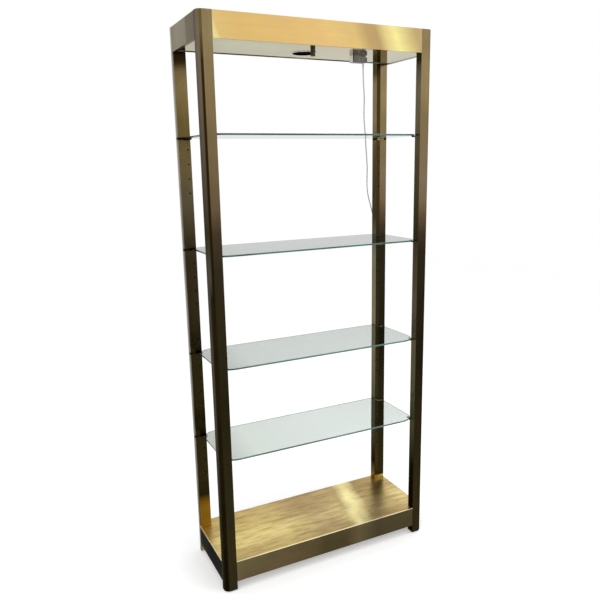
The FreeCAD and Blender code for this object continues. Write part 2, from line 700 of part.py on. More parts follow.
def make_base():
    rear = long_apron("base_long", BASE_BOTTOM, BASE_COVER)
    right = short_apron("base_short", BASE_BOTTOM, BASE_COVER)
    node(rear, "base_rear_apron")
    node(mirrored(rear, "base_front", "y"), "base_front_apron")
    node(right, "base_right_apron")
    node(mirrored(right, "base_left", "x"), "base_left_apron")
    node(cover("deck", BASE_COVER, BASE_TOP), "base_deck")

    board_top = f"({BASE_COVER} - Sizes.sheet_thickness)"
    board_bottom = f"({board_top} - Sizes.board_thickness)"
    board = new_body("board")
    section = sketch_on(board, "section", "XY", board_bottom)
    margin = "Sizes.board_margin"
    half = (f"{WEB_X} - {margin}", f"{WEB_Y} - {margin}")
    notch = (f"{POST_X} - {margin}", f"{POST_Y} - {margin}")
    draw_outline(section, notched_outline(*half, *notch))
    pad(board, section, "Sizes.board_thickness")
    holes = sketch_on(board, "holes", "XY", board_bottom)
    width = "Sizes.cover_screw_diameter + Sizes.through_clearance"
    draw_circles(holes, [(x, y, width) for x, y in cover_screw_spots()])
    pocket(board, holes, "3 * Sizes.board_thickness")
    node(board, "base_board")

    length = "Sizes.board_thickness + 0.8 * Sizes.sheet_thickness"
    template = pan_screw("board_screw", "Sizes.cover_screw_diameter", length)
    seats = [(Vector(number(x), number(y), number(board_bottom)), AXES["z"])
             for x, y in cover_screw_spots()]
    node(copies("board_screws", template, seats), "base_board_screws")
    make_brackets("base", BASE_BRACKET)


def make_canopy():
    front = long_apron("fascia", CANOPY_BOTTOM, CANOPY_COVER)
    node(mirrored(front, "canopy_front", "y"), "canopy_front_fascia")
    rear_bottom = f"({CANOPY_BOTTOM} + Sizes.rear_apron_rise)"
    node(long_apron("canopy_rear", rear_bottom, CANOPY_COVER), "canopy_rear_apron")
    right = short_apron("canopy_short", CANOPY_BOTTOM, CANOPY_COVER)
    node(right, "canopy_right_apron")
    node(mirrored(right, "canopy_left", "x"), "canopy_left_apron")

    panel = cover("panel", CANOPY_COVER, TOP)
    holes = sketch_on(panel, "holes", "XY", TOP)
    through = "(Sizes.cover_screw_diameter + Sizes.through_clearance)"
    draw_circles(holes, [(x, y, through) for x, y in cover_screw_spots()])
    drilled = pocket(panel, holes, "4 * Sizes.sheet_thickness")
    rims = []
    for x, y in cover_screw_spots():
        rims += edges_at(drilled, x=f"{x} + {through} / 2", y=y, z=TOP)
    dress("Chamfer", panel, drilled, rims, "Sizes.countersink")
    node(panel, "canopy_top_panel")

    shank = "(Sizes.cover_screw_diameter - Sizes.thread_clearance) / 2"
    head = f"{shank} + Sizes.countersink"
    screw = revolve("countersunk_screw", [
        ("0", "0"), (head, "0"), (shank, "-Sizes.countersink"), (shank, "-Sizes.cover_screw_length"),
        ("0", "-Sizes.cover_screw_length"),
    ])
    socket = block("countersunk_slot", (f"-0.8 * ({head})", f"0.8 * ({head})"),
                   ("-0.1 * Sizes.cover_screw_diameter", "0.1 * Sizes.cover_screw_diameter"),
                   ("-0.5 * Sizes.countersink", "Sizes.countersink"))
    slotted = cut("slotted_screw", screw, [socket])
    document.recompute()
    seats = [(Vector(number(x), number(y), number(TOP)), AXES["z"]) for x, y in cover_screw_spots()]
    node(copies("panel_screws", slotted, seats), "canopy_panel_screws")
    make_brackets("canopy", CANOPY_BRACKET)


def make_soffit():
    """The polished sheet that lies on the returns, with an upturned lip behind."""
    gap = "Sizes.soffit_gap"
    side = f"({WEB_X} - {gap})"
    front = f"-({WEB_Y} - {gap})"
    inner = f"({POST_X} - {gap})"
    step = f"-({POST_Y} - {gap})"
    body = new_body("soffit_plate")
    section = sketch_on(body, "section", "XY", SOFFIT)
    draw_outline(section, [
        (side, SOFFIT_REAR), (f"-{side}", SOFFIT_REAR), (f"-{side}", step), (f"-{inner}", step),
        (f"-{inner}", front), (inner, front), (inner, step), (side, step),
    ])
    pad(body, section, "Sizes.sheet_thickness")
    lip = block("soffit_lip_sheet", (f"-{side}", side), (f"{SOFFIT_REAR} - Sizes.sheet_thickness", SOFFIT_REAR),
                (SOFFIT, f"{SOFFIT} + Sizes.soffit_lip"))
    tray = fuse("soffit_tray", [body, lip])
    through = (f"{SOFFIT} - Sizes.sheet_thickness", f"{SOFFIT} + 2 * Sizes.sheet_thickness")
    drills = [
        rod("lamp_cutout", "z", ("0", "0"), through, "Sizes.can_diameter + 2 * Sizes.can_gap"),
        rod("switch_cutout", "z", ("0", "-Sizes.switch_setback"), through,
            "Sizes.bushing_diameter + Sizes.through_clearance"),
        rod("grommet_cutout", "z", (GROMMET_X, GROMMET_Y), through, "Sizes.grommet_diameter"),
    ]
    node(cut("soffit", tray, drills), "soffit_panel")


# ---- Lamp -----------------------------------------------------------------------------------

def make_lamp():
    outer = "Sizes.can_diameter / 2"
    inner = f"({outer} - Sizes.can_wall)"
    flange = f"{outer} + Sizes.can_flange"
    flange_top = f"{SOFFIT_UPPER} + Sizes.can_wall"
    can = revolve("can", [
        (inner, SOFFIT), (outer, SOFFIT), (outer, SOFFIT_UPPER), (flange, SOFFIT_UPPER),
        (flange, flange_top), (outer, flange_top), (outer, CAN_TOP), ("0", CAN_TOP),
        ("0", CAN_CEILING), (inner, CAN_CEILING),
    ])
    ports = [
        rod("switch_port", "y", ("0", CAN_PORT), (f"-{outer} - Sizes.can_wall", "-Sizes.holder_diameter"),
            "Sizes.can_port_diameter"),
        rod("supply_port", "x", ("0", CAN_PORT), ("Sizes.holder_diameter", f"{outer} + Sizes.can_wall"),
            "Sizes.can_port_diameter"),
    ]
    node(cut("lamp_can_ported", can, ports), "lamp_can")

    trim_bottom = f"{SOFFIT} - Sizes.trim_thickness"
    sleeve = f"({inner} - Sizes.plug_clearance)"
    opening = f"({sleeve} - Sizes.can_wall)"
    rim = f"({outer} + Sizes.trim_rim)"
    ring = revolve("trim", [
        (opening, trim_bottom), (f"{rim} - Sizes.trim_thickness / 2", trim_bottom),
        (rim, SOFFIT), (sleeve, SOFFIT),
        (sleeve, f"{SOFFIT} + Sizes.trim_sleeve"), (opening, f"{SOFFIT} + Sizes.trim_sleeve"),
    ])
    node(ring, "lamp_trim_ring")

    low = f"({SOFFIT} + Sizes.trim_sleeve)"
    middle = f"({low} + Sizes.baffle_height / 2)"
    high = f"({low} + Sizes.baffle_height)"
    wall = "Sizes.can_wall"
    step = "Sizes.baffle_step"
    node(revolve("baffle", [
        (f"{sleeve} - {wall}", low), (sleeve, low), (sleeve, f"{middle} + {wall}"),
        (f"{sleeve} - {step}", f"{middle} + {wall}"), (f"{sleeve} - {step}", high),
        (f"{sleeve} - 2 * {step}", high), (f"{sleeve} - 2 * {step}", f"{high} - {wall}"),
        (f"{sleeve} - {step} - {wall}", f"{high} - {wall}"), (f"{sleeve} - {step} - {wall}", middle),
        (f"{sleeve} - {wall}", middle),
    ]), "lamp_baffle")

    face = f"({SOFFIT} + Sizes.lamp_recess)"
    shoulder = f"{LAMP_TOP} - 0.35 * Sizes.lamp_body_height"
    bulb = revolve("bulb", [
        ("0", f"{face} + 0.04 * Sizes.lamp_body_height"),
        ("0.44 * Sizes.lamp_diameter", f"{face} + 0.04 * Sizes.lamp_body_height"),
        ("0.46 * Sizes.lamp_diameter", face), ("Sizes.lamp_diameter / 2", face),
        ("Sizes.lamp_diameter / 2", f"{face} + 0.1 * Sizes.lamp_body_height"),
        ("Sizes.lamp_neck_diameter / 2", shoulder), ("Sizes.lamp_neck_diameter / 2", LAMP_TOP),
        ("0", LAMP_TOP),
    ])
    pins = [rod(f"lamp_pin_{index}", "z", (f"{sign} * Sizes.lamp_pin_pitch / 2", "0"),
                (f"{LAMP_TOP} - Sizes.lamp_pin_length", f"{LAMP_TOP} + Sizes.lamp_pin_length"),
                "Sizes.lamp_pin_diameter") for index, sign in enumerate((-1, 1))]
    node(fuse("lamp", [bulb, *pins]), "reflector_lamp")

    holder = rod("holder", "z", ("0", "0"), (LAMP_TOP, CAN_CEILING), "Sizes.holder_diameter")
    sockets = [rod(f"holder_socket_{index}", "z", (f"{sign} * Sizes.lamp_pin_pitch / 2", "0"),
                   (f"{LAMP_TOP} - Sizes.lamp_pin_length", f"{LAMP_TOP} + 1.2 * Sizes.lamp_pin_length"),
                   "Sizes.lamp_pin_diameter + Sizes.pin_clearance") for index, sign in enumerate((-1, 1))]
    node(cut("lampholder_bored", holder, sockets), "lampholder")


# ---- Switch ---------------------------------------------------------------------------------

def make_switch():
    y = "-Sizes.switch_setback"
    bushing = "Sizes.bushing_diameter / 2"
    bore = "(Sizes.shaft_diameter + Sizes.running_clearance) / 2"
    body_radius = "Sizes.switch_body_diameter / 2"
    body_top = f"({SOFFIT_UPPER} + Sizes.switch_body_height)"
    bushing_bottom = f"({SOFFIT} - Sizes.bushing_reach)"
    bore_top = f"({SOFFIT_UPPER} + Sizes.switch_body_height / 2)"
    node(revolve("switch", [
        (bore, bushing_bottom), (bushing, bushing_bottom), (bushing, SOFFIT_UPPER),
        (body_radius, SOFFIT_UPPER), (body_radius, body_top), ("0", body_top), ("0", bore_top),
        (bore, bore_top),
    ], y=y), "switch_body")

    nut = document.addObject("Part::Prism", "nut_blank")
    nut.Polygon = 6
    nut.setExpression("Circumradius", "Sizes.nut_across_corners / 2")
    nut.setExpression("Height", "Sizes.nut_height")
    place(nut, "0", y, f"{SOFFIT} - Sizes.nut_height")
    thread = rod("nut_thread", "z", ("0", y), (f"{SOFFIT} - 2 * Sizes.nut_height", SOFFIT_UPPER),
                 "Sizes.bushing_diameter")
    node(cut("nut", nut, [thread]), "switch_nut")

    knob_top = f"({SOFFIT} - Sizes.knob_gap)"
    knob_bottom = f"({knob_top} - Sizes.knob_height)"
    recess = f"({knob_top} - Sizes.knob_recess_depth)"
    bore_end = f"({recess} - Sizes.knob_bore_depth)"
    rim = "Sizes.knob_diameter / 2"
    edge = "Sizes.knob_edge"
    knob = revolve("knob", [
        ("0", knob_bottom), (f"{rim} - {edge}", knob_bottom), (rim, f"{knob_bottom} + {edge}"),
        (rim, f"{knob_top} - {edge} / 2"), (f"{rim} - {edge} / 2", knob_top),
        ("Sizes.knob_recess_diameter / 2", knob_top), ("Sizes.knob_recess_diameter / 2", recess),
        (bore, recess), (bore, bore_end), ("0", bore_end),
    ], y=y)
    flute = sketch_on(knob, "flute", "XY", f"({knob_top} + {knob_bottom}) / 2")
    draw_circles(flute, [(rim, "0", "Sizes.flute_diameter")])
    groove = pocket(knob, flute, f"Sizes.knob_height - 2.6 * {edge}")
    flutes = knob.newObject("PartDesign::PolarPattern", "knob_flutes_pattern")
    flutes.Originals = [groove]
    flutes.Axis = (flute, ["N_Axis"])
    flutes.Angle = 360
    flutes.setExpression("Occurrences", "Sizes.knob_flutes")
    knob.Tip = flutes
    document.recompute()
    screw_z = f"({recess} - Sizes.knob_bore_depth / 2)"
    tapped = rod("knob_tapping", "y", ("0", screw_z), (f"{y} - Sizes.knob_diameter", y),
                 "Sizes.set_screw_diameter")
    node(cut("knob_tapped", knob, [tapped]), "switch_knob")

    shaft_bottom = f"({bore_end} + Sizes.knob_gap)"
    shaft_top = f"({bore_top} - Sizes.knob_gap)"
    node(rod("shaft", "z", ("0", y), (shaft_bottom, shaft_top), "Sizes.shaft_diameter"), "switch_shaft")

    screw = rod("set_screw", "y", ("0", screw_z),
                (f"{y} - {rim} + Sizes.flute_diameter", f"{y} - Sizes.shaft_diameter / 2"),
                "Sizes.set_screw_diameter - Sizes.thread_clearance")
    node(screw, "knob_set_screw")


# ---- Junction box, wires and supply lead ----------------------------------------------------

def make_junction_box():
    wall = "Sizes.box_wall"
    x = ("Sizes.box_left", BOX_RIGHT)
    y = ("-Sizes.box_front", BOX_REAR)
    shell = new_body("box_shell")
    section = sketch_on(shell, "section", "XY", BOX_BOTTOM)
    draw_outline(section, [(x[0], y[0]), (x[1], y[0]), (x[1], y[1]), (x[0], y[1])])
    solid = pad(shell, section, "Sizes.box_height")
    upright = []
    for side in x:
        for end in y:
            upright += edges_at(solid, x=side, y=end)
    dress("Fillet", shell, solid, upright, "Sizes.box_edge_radius")
    room = block("box_room", (f"{x[0]} + {wall}", f"{x[1]} - {wall}"), (f"{y[0]} + {wall}", f"{y[1]} - {wall}"),
                 (BOX_FLOOR, f"{SOFFIT} + {wall}"))
    ear_middle = f"({SOFFIT} - Sizes.box_height / 2)"
    ear = block("box_ear", (f"{x[1]} - {wall} / 2", f"{x[1]} + Sizes.ear_reach"),
                (f"{y[0]} + 2 * {wall}", f"{y[0]} + 3 * {wall}"),
                (f"{ear_middle} - Sizes.ear_height / 2", f"{ear_middle} + Sizes.ear_height / 2"))
    screw_x = "(Sizes.box_left + Sizes.box_screw_offset)"
    screw_z = f"({SOFFIT} - Sizes.box_screw_drop)"
    thread = "Sizes.cover_screw_diameter"
    drill = rod("box_drill", "y", (screw_x, screw_z), (f"{y[0]} - {wall}", f"{y[0]} + 2 * {wall}"),
                f"{thread} + Sizes.through_clearance")
    gland = rod("box_gland", "z", (LEAD_X, LEAD_Y), (f"{BOX_BOTTOM} - {wall}", f"{BOX_FLOOR} + {wall}"),
                "Sizes.relief_diameter")
    hollow = cut("box_hollow", shell, [room, drill, gland])
    node(fuse("box_with_ear", [hollow, ear]), "junction_box")

    plate = "Sizes.bracket_thickness"
    inner = f"{y[0]} + {wall}"
    width = (f"{screw_x} - 2 * {thread}", f"{screw_x} + 2 * {thread}")
    down = block("box_bracket_down", width, (inner, f"{inner} + {plate}"),
                 (f"{screw_z} - 1.5 * {thread}", SOFFIT))
    flat = block("box_bracket_flat", width, (inner, f"{inner} + 5 * {plate}"), (f"{SOFFIT} - {plate}", SOFFIT))
    tapping = rod("box_tapping", "y", (screw_x, screw_z), (y[0], f"{inner} + 2 * {plate}"), thread)
    node(cut("box_bracket", fuse("box_bracket_angle", [down, flat]), [tapping]), "junction_box_bracket")

    template = pan_screw("box_screw_blank", thread, f"{wall} + {plate} + {wall}")
    seat = Vector(number(screw_x), number(y[0]), number(screw_z))
    node(copies("box_screw", template, [(seat, AXES["y"])]), "junction_box_screw")

    terminal_x = f"({screw_x} - {thread})"
    node(block("terminals", (terminal_x, f"{terminal_x} + 6 * {thread}"),
               (f"{inner} + 3 * {plate}", f"{BOX_REAR} - {wall} - 1"),
               (BOX_FLOOR, f"{BOX_FLOOR} + 3.5 * {thread}")), "terminal_block")


def collared_plug(name, shaft, collars, x, y, corners_below):
    """A rubber piece in a round hole, with a collar over and under the sheet."""
    low, high = collars
    rim = f"{shaft} + Sizes.relief_flange_rim"
    return revolve(name, [
        *corners_below, (rim, f"{low} - Sizes.relief_flange"), (rim, low), (shaft, low), (shaft, high),
        (rim, high), (rim, f"{high} + Sizes.grommet_flange"), ("0", f"{high} + Sizes.grommet_flange"),
    ], x, y)


def make_strain_relief():
    shaft = "Sizes.relief_diameter / 2"
    end = "Sizes.lead_diameter / 2 + 0.4"
    flange = f"{BOX_BOTTOM} - Sizes.relief_flange"
    below = [("0", LEAD_START), (end, LEAD_START), (shaft, flange)]
    relief = collared_plug("relief", shaft, (BOX_BOTTOM, BOX_FLOOR), LEAD_X, LEAD_Y, below)
    node(relief, "cord_strain_relief")


def make_grommet():
    shaft = "Sizes.grommet_diameter / 2"
    below = [("0", f"{SOFFIT} - Sizes.relief_flange")]
    grommet = collared_plug("grommet", shaft, (SOFFIT, SOFFIT_UPPER), GROMMET_X, GROMMET_Y, below)
    node(grommet, "wire_grommet")


def bend(before, corner, after):
    """Start, middle and end of the arc that rounds a corner of a route, and its radius."""
    back = (before - corner).normalize()
    ahead = (after - corner).normalize()
    run = min(before.distanceToPoint(corner), after.distanceToPoint(corner))
    reach = 0.45 * run
    half_turn = (math.pi - back.getAngle(ahead)) / 2
    radius = reach / math.tan(half_turn)
    bisector = (back + ahead).normalize()
    middle = corner + bisector * (radius / math.cos(half_turn) - radius)
    return corner + back * reach, middle, corner + ahead * reach, radius


def route(points):
    """A wire of straight runs joined by tangent arcs, and the arcs' radii."""
    edges = []
    radii = []
    start = points[0]
    for before, corner, after in zip(points, points[1:], points[2:]):
        arc_start, arc_middle, arc_end, radius = bend(before, corner, after)
        edges.append(Part.makeLine(start, arc_start))
        edges.append(Part.Arc(arc_start, arc_middle, arc_end).toShape())
        radii.append(radius)
        start = arc_end
    edges.append(Part.makeLine(start, points[-1]))
    return Part.Wire(edges), radii


def tube(name, points, diameter):
    """A round lead along the route, as a solid."""
    path, radii = route(points)
    section = Part.Wire([Part.makeCircle(diameter / 2, points[0], points[1] - points[0])])
    solid = path.makePipeShell([section], True, False)
    expected = math.pi * diameter ** 2 / 4 * path.Length
    print(f"{name}: length {path.Length:.0f}, volume {solid.Volume / expected:.4f} of section x length,"
          f" radii {' '.join(f'{radius:.0f}' for radius in radii)}")
    return solid


def make_wires():
    """Supply to the switch, switch to the lampholder, and supply to the lampholder."""
    diameter = number("Sizes.wire_diameter")
    start_z = number(f"{SOFFIT_UPPER} + Sizes.grommet_flange")
    grommet_x = number(GROMMET_X)
    grommet_y = number(GROMMET_Y)
    half_way = grommet_x / 2
    port_z = number(CAN_PORT)
    holder = number("Sizes.holder_diameter / 2")
    switch_y = -number("Sizes.switch_setback")
    switch_radius = number("Sizes.switch_body_diameter / 2")
    switch_top = number(f"{SOFFIT_UPPER} + Sizes.switch_body_height")
    low_z = (start_z + switch_top) / 2
    routes = {
        "feed": [
            Vector(grommet_x - diameter, grommet_y, start_z),
            Vector(grommet_x - diameter, grommet_y, low_z + 5 * diameter),
            Vector(half_way, switch_y + diameter, low_z), Vector(switch_radius, switch_y, low_z),
        ],
        "switched": [
            Vector(0, switch_y, switch_top), Vector(0, switch_y, port_z), Vector(0, -holder, port_z),
        ],
        "neutral": [
            Vector(grommet_x + diameter, grommet_y, start_z),
            Vector(grommet_x + diameter, grommet_y, low_z + 8 * diameter),
            Vector(half_way, 2 * diameter, port_z), Vector(holder, 0, port_z),
        ],
    }
    feature = document.addObject("Part::Feature", "wires")
    feature.Shape = Part.makeCompound([tube(name, points, diameter) for name, points in routes.items()])
    node(feature, "canopy_wires")


def make_lead():
    """The supply lead down to its put-away coil, the coil, the tail and the plug."""
    diameter = number("Sizes.lead_diameter")
    height = number("Sizes.coil_bundle / 2")
    turn = number("Sizes.coil_turn_diameter / 2")
    bundle = number("Sizes.coil_bundle / 2")
    coil = Vector(number("Sizes.coil_x"), number(COIL_Y), height)
    entry = math.sqrt((turn + bundle) ** 2 - turn ** 2) - diameter
    start = Vector(number(LEAD_X), number(LEAD_Y), number(LEAD_START))
    end = coil + Vector(entry, -turn, 0)
    lead = document.addObject("Part::Feature", "lead")
    points = [start, *(Vector(*point) for point in LEAD_POINTS), end]
    lead.Shape = tube("cord_lead", points, diameter)
    node(lead, "cord_lead")

    ring = document.addObject("Part::Torus", "coil")
    ring.setExpression("Radius1", "Sizes.coil_turn_diameter / 2")
    ring.setExpression("Radius2", "Sizes.coil_bundle / 2")
    place(ring, "Sizes.coil_x", COIL_Y, "Sizes.coil_bundle / 2")
    node(ring, "cord_coil")

    sleeve_end = number("Sizes.plug_x - Sizes.plug_sleeve_length")
    plug_z = number("Sizes.plug_height / 2")
    leave = coil + Vector(entry, turn, 0)
    arrive = Vector(sleeve_end, leave.y, plug_z)
    middle = (leave + arrive) / 2 + Vector(0, diameter / 2, 0)
    tail = document.addObject("Part::Feature", "tail")
    tail.Shape = tube("cord_tail", [leave, middle, arrive], diameter)
    node(tail, "cord_tail")


def make_plug():
    plug_y = f"({COIL_Y} + Sizes.coil_turn_diameter / 2)"
    middle_z = "Sizes.plug_height / 2"
    front = "(Sizes.plug_x + Sizes.plug_length)"
    body = new_body("plug_block")
    section = sketch_on(body, "section", "YZ", "Sizes.plug_x")
    sides = (f"{plug_y} - Sizes.plug_width / 2", f"{plug_y} + Sizes.plug_width / 2")
    draw_outline(section, [(sides[0], "0"), (sides[1], "0"), (sides[1], "Sizes.plug_height"),
                           (sides[0], "Sizes.plug_height")])
    solid = pad(body, section, "Sizes.plug_length")
    edges = []
    for side in sides:
        for z in ("0", "Sizes.plug_height"):
            edges += edges_at(solid, y=side, z=z)
    dress("Fillet", body, solid, edges, "Sizes.plug_edge_radius")
    sleeve = cone("plug_sleeve", "x", (plug_y, middle_z),
                  ("Sizes.plug_x - Sizes.plug_sleeve_length", "Sizes.plug_x"),
                  ("Sizes.lead_diameter + 0.8", "Sizes.plug_sleeve_diameter"))
    node(fuse("plug_moulding", [body, sleeve]), "plug_body")
    blades = []
    for index, sign in enumerate((-1, 1)):
        middle = f"({plug_y} + {sign} * Sizes.blade_pitch / 2)"
        blades.append(block(f"blade_{index}", (front, f"{front} + Sizes.blade_length"),
                            (f"{middle} - Sizes.blade_thickness / 2", f"{middle} + Sizes.blade_thickness / 2"),
                            (f"{middle_z} - Sizes.blade_width / 2", f"{middle_z} + Sizes.blade_width / 2")))
    node(group("blades", blades), "plug_blades")


# ---- Glass shelves and their supports -------------------------------------------------------

def make_shelf(shelf, level):
    """A pane with rounded corners and bevelled edges."""
    body = new_body(f"pane_{shelf}")
    bottom = f"({level} - Sizes.glass_thickness)"
    section = sketch_on(body, "section", "XY", bottom)
    x = f"({HALF_WIDTH} - Sizes.shelf_side_inset)"
    y = f"({HALF_DEPTH} - Sizes.shelf_edge_inset)"
    draw_outline(section, [(x, y), (f"-{x}", y), (f"-{x}", f"-{y}"), (x, f"-{y}")])
    pane = pad(body, section, "Sizes.glass_thickness")
    upright = []
    for sign_x in (-1, 1):
        for sign_y in (-1, 1):
            upright += edges_at(pane, x=f"{sign_x} * {x}", y=f"{sign_y} * {y}")
    pane = dress("Fillet", body, pane, upright, "Sizes.shelf_corner_radius")
    rims = edges_at(pane, z=bottom) + edges_at(pane, z=level)
    dress("Chamfer", body, pane, rims, "Sizes.glass_arris")
    node(body, f"glass_shelf_{shelf}")


def make_supports(shelf, level):
    """Four tabs with a collar and a pin in the post, and the prototype of their pads."""
    axis = support_axis(level)
    half = "Sizes.support_thickness / 2"
    x = (f"{HOLE_X} - Sizes.support_width / 2", f"{HOLE_X} + Sizes.support_width / 2")
    tab_rear = f"({POST_Y} - Sizes.collar_length / 2)"
    tab_front = f"({POST_Y} - Sizes.support_reach)"
    body = new_body(f"tab_{shelf}")
    section = sketch_on(body, "section", "XY", f"{axis} - {half}")
    draw_outline(section, [(x[0], tab_front), (x[1], tab_front), (x[1], tab_rear), (x[0], tab_rear)])
    tab = pad(body, section, "Sizes.support_thickness")
    corners = edges_at(tab, x=x[0], y=tab_front) + edges_at(tab, x=x[1], y=tab_front)
    dress("Fillet", body, tab, corners, "Sizes.support_corner_radius")
    collar = rod(f"collar_{shelf}", "y", (HOLE_X, axis), (f"{POST_Y} - Sizes.collar_length", POST_Y),
                 "Sizes.collar_diameter")
    stud = rod(f"stud_{shelf}", "y", (HOLE_X, axis),
               (f"{POST_Y} - Sizes.collar_length", f"{POST_Y} + Sizes.pin_length"),
               "Sizes.hole_diameter - Sizes.pin_clearance")
    support = fuse(f"support_{shelf}", [body, collar, stud])
    node(group(f"supports_{shelf}", list(corner_twins(support, f"support_{shelf}").values())),
         f"shelf_supports_{shelf}")
    pad_front = f"({tab_front} + Sizes.pad_margin)"
    return block(f"pad_{shelf}", (f"{x[0]} + Sizes.pad_margin", f"{x[1]} - Sizes.pad_margin"),
                 (pad_front, f"{pad_front} + Sizes.pad_length"),
                 (f"{axis} + {half}", f"{axis} + {half} + Sizes.pad_thickness"))


def make_shelves():
    pads = []
    for shelf, level in SHELF_LEVELS.items():
        make_shelf(shelf, level)
        pads += corner_twins(make_supports(shelf, level), f"pad_{shelf}").values()
    node(group("pads", pads), "shelf_pads")


def check_and_export():
    """Write each piece to its own file, once every object of the document is sound."""
    document.recompute()
    failed = [thing.Name for thing in document.Objects if {"Invalid", "Error"} & set(thing.State)]
    if failed:
        raise RuntimeError(f"failed objects: {failed}")
    for piece in nodes:
        if piece.Shape.isNull() or not piece.Shape.isValid() or not piece.Shape.Solids:
            raise RuntimeError(f"bad shape: {piece.Label}")
    os.makedirs("parts", exist_ok=True)
    for piece in nodes:
        piece.Shape.exportStep(f"parts/{piece.Label}.step")
    print(f"{len(nodes)} pieces")


make_posts()
make_post_ends()
make_base()
make_canopy()
make_soffit()
make_lamp()
make_switch()
make_junction_box()
make_strain_relief()
make_grommet()
make_wires()
make_lead()
make_plug()
make_shelves()
check_and_export()
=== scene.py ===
# %% [markdown]
# # Brass and glass etagere with a lighted canopy
# Four drilled brass posts carry a brass box at the foot, a brass canopy at the top and four glass
# shelves on plug-in supports.  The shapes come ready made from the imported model; this notebook
# adds the supply lead, its plug and the tie of its coil, gives each piece its real finish, and sets
# up a plain studio.

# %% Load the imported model
import math

import bpy
from mathutils import Matrix, Vector


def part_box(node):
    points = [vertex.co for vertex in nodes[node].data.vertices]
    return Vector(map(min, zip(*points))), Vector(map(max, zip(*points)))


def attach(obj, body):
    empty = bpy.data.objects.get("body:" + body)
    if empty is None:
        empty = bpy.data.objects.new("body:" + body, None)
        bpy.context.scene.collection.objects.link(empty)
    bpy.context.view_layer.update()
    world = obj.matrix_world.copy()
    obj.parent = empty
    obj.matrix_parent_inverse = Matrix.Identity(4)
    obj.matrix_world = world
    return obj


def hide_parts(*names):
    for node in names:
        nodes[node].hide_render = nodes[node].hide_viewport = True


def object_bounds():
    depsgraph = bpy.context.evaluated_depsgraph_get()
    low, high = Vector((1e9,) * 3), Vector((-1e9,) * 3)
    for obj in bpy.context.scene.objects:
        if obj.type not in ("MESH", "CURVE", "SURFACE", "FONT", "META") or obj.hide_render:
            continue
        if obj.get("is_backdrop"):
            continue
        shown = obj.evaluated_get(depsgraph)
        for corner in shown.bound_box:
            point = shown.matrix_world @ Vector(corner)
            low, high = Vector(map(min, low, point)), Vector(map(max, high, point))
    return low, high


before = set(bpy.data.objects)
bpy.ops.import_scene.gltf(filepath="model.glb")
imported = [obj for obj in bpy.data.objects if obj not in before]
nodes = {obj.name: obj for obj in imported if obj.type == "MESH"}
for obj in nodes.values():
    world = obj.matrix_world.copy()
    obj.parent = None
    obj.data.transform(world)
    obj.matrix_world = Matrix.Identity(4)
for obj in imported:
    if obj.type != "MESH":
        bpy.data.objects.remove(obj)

bpy.ops.object.select_all(action="DESELECT")
cad_low, cad_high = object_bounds()
print(f"{len(nodes)} pieces, {cad_high.z - cad_low.z:.3f} m high")

# %% [markdown]
# ## Camera
# The camera stands at eye height, 1.53 m, in front of the object and to its left, so its view shows
# the front, the left side, the deck from above and the canopy's soffit from below.  Its direction
# is built from three turns: round the vertical, downwards, and a slight roll.

# %% Camera
CAMERA_PLACE = (-1.0677, -2.1286, 1.5346)
CAMERA_YAW, CAMERA_PITCH, CAMERA_ROLL = -26.195, -12.336, 1.084
FOCAL_SHARE = 632.73 / 600
CENTRE_X_SHARE, CENTRE_Y_SHARE = 303.31 / 600, 303.03 / 600

turn = (Matrix.Rotation(math.radians(CAMERA_YAW), 3, "Z")
        @ Matrix.Rotation(math.radians(CAMERA_PITCH), 3, "X")
        @ Matrix.Rotation(math.radians(CAMERA_ROLL), 3, "Y")
        @ Matrix.Rotation(math.radians(90), 3, "X"))
bpy.ops.object.camera_add(location=CAMERA_PLACE, rotation=turn.to_euler())
camera = bpy.context.object
camera.data.sensor_width = 36
camera.data.lens = FOCAL_SHARE * camera.data.sensor_width
camera.data.shift_x = 0.5 - CENTRE_X_SHARE
camera.data.shift_y = CENTRE_Y_SHARE - 0.5
bpy.context.scene.camera = camera
print(f"lens {camera.data.lens:.1f} mm")

# %% [markdown]
# ## Supply lead
# A lead is one length of flexible wire, so it is a single smooth curve with a round section.  It
# drops out of the junction box under the soffit, swings back to the rear right post, runs down
# behind it and ends in a tied coil on the floor with its plug.  A NURBS curve of order 3 follows
# the points below softly, as a hanging wire does.  Its thickness is each point's radius times the
# bevel depth.  The depth is left at 1 and the radius is the lead's own, because Blender pads a
# curve's bounding box by that radius, and the default of 1 m would make the object look huge.

# %% Points of the lead
LEAD_EXIT = (0.239, -0.012, 1.876)
LEAD_POINTS = [
    LEAD_EXIT, (0.2395, -0.0115, 1.856), (0.248, 0.001, 1.838), (0.27, 0.033, 1.811),
    (0.293, 0.066, 1.78), (0.312, 0.099, 1.748), (0.331, 0.131, 1.716), (0.351, 0.158, 1.684),
    (0.362, 0.169, 1.641), (0.367, 0.1715, 1.591), (0.371, 0.171, 1.546), (0.3735, 0.172, 1.508),
    (0.3715, 0.1715, 1.47), (0.373, 0.173, 1.43), (0.382, 0.174, 1.388), (0.397, 0.1755, 1.347),
    (0.409, 0.176, 1.3), (0.413, 0.177, 1.24), (0.411, 0.1755, 1.176), (0.4085, 0.176, 1.112),
    (0.412, 0.1775, 1.049), (0.416, 0.176, 0.986), (0.413, 0.175, 0.922), (0.4095, 0.1765, 0.858),
    (0.411, 0.178, 0.795), (0.415, 0.1765, 0.731), (0.417, 0.175, 0.668), (0.414, 0.176, 0.604),
    (0.41, 0.1775, 0.541), (0.409, 0.176, 0.477), (0.413, 0.175, 0.413), (0.416, 0.1765, 0.35),
    (0.414, 0.178, 0.287), (0.41, 0.1785, 0.224), (0.4085, 0.177, 0.162), (0.411, 0.178, 0.104),
    (0.408, 0.18, 0.061), (0.394, 0.185, 0.027), (0.364, 0.19, 0.008), (0.337, 0.1893, 0.0028),
]
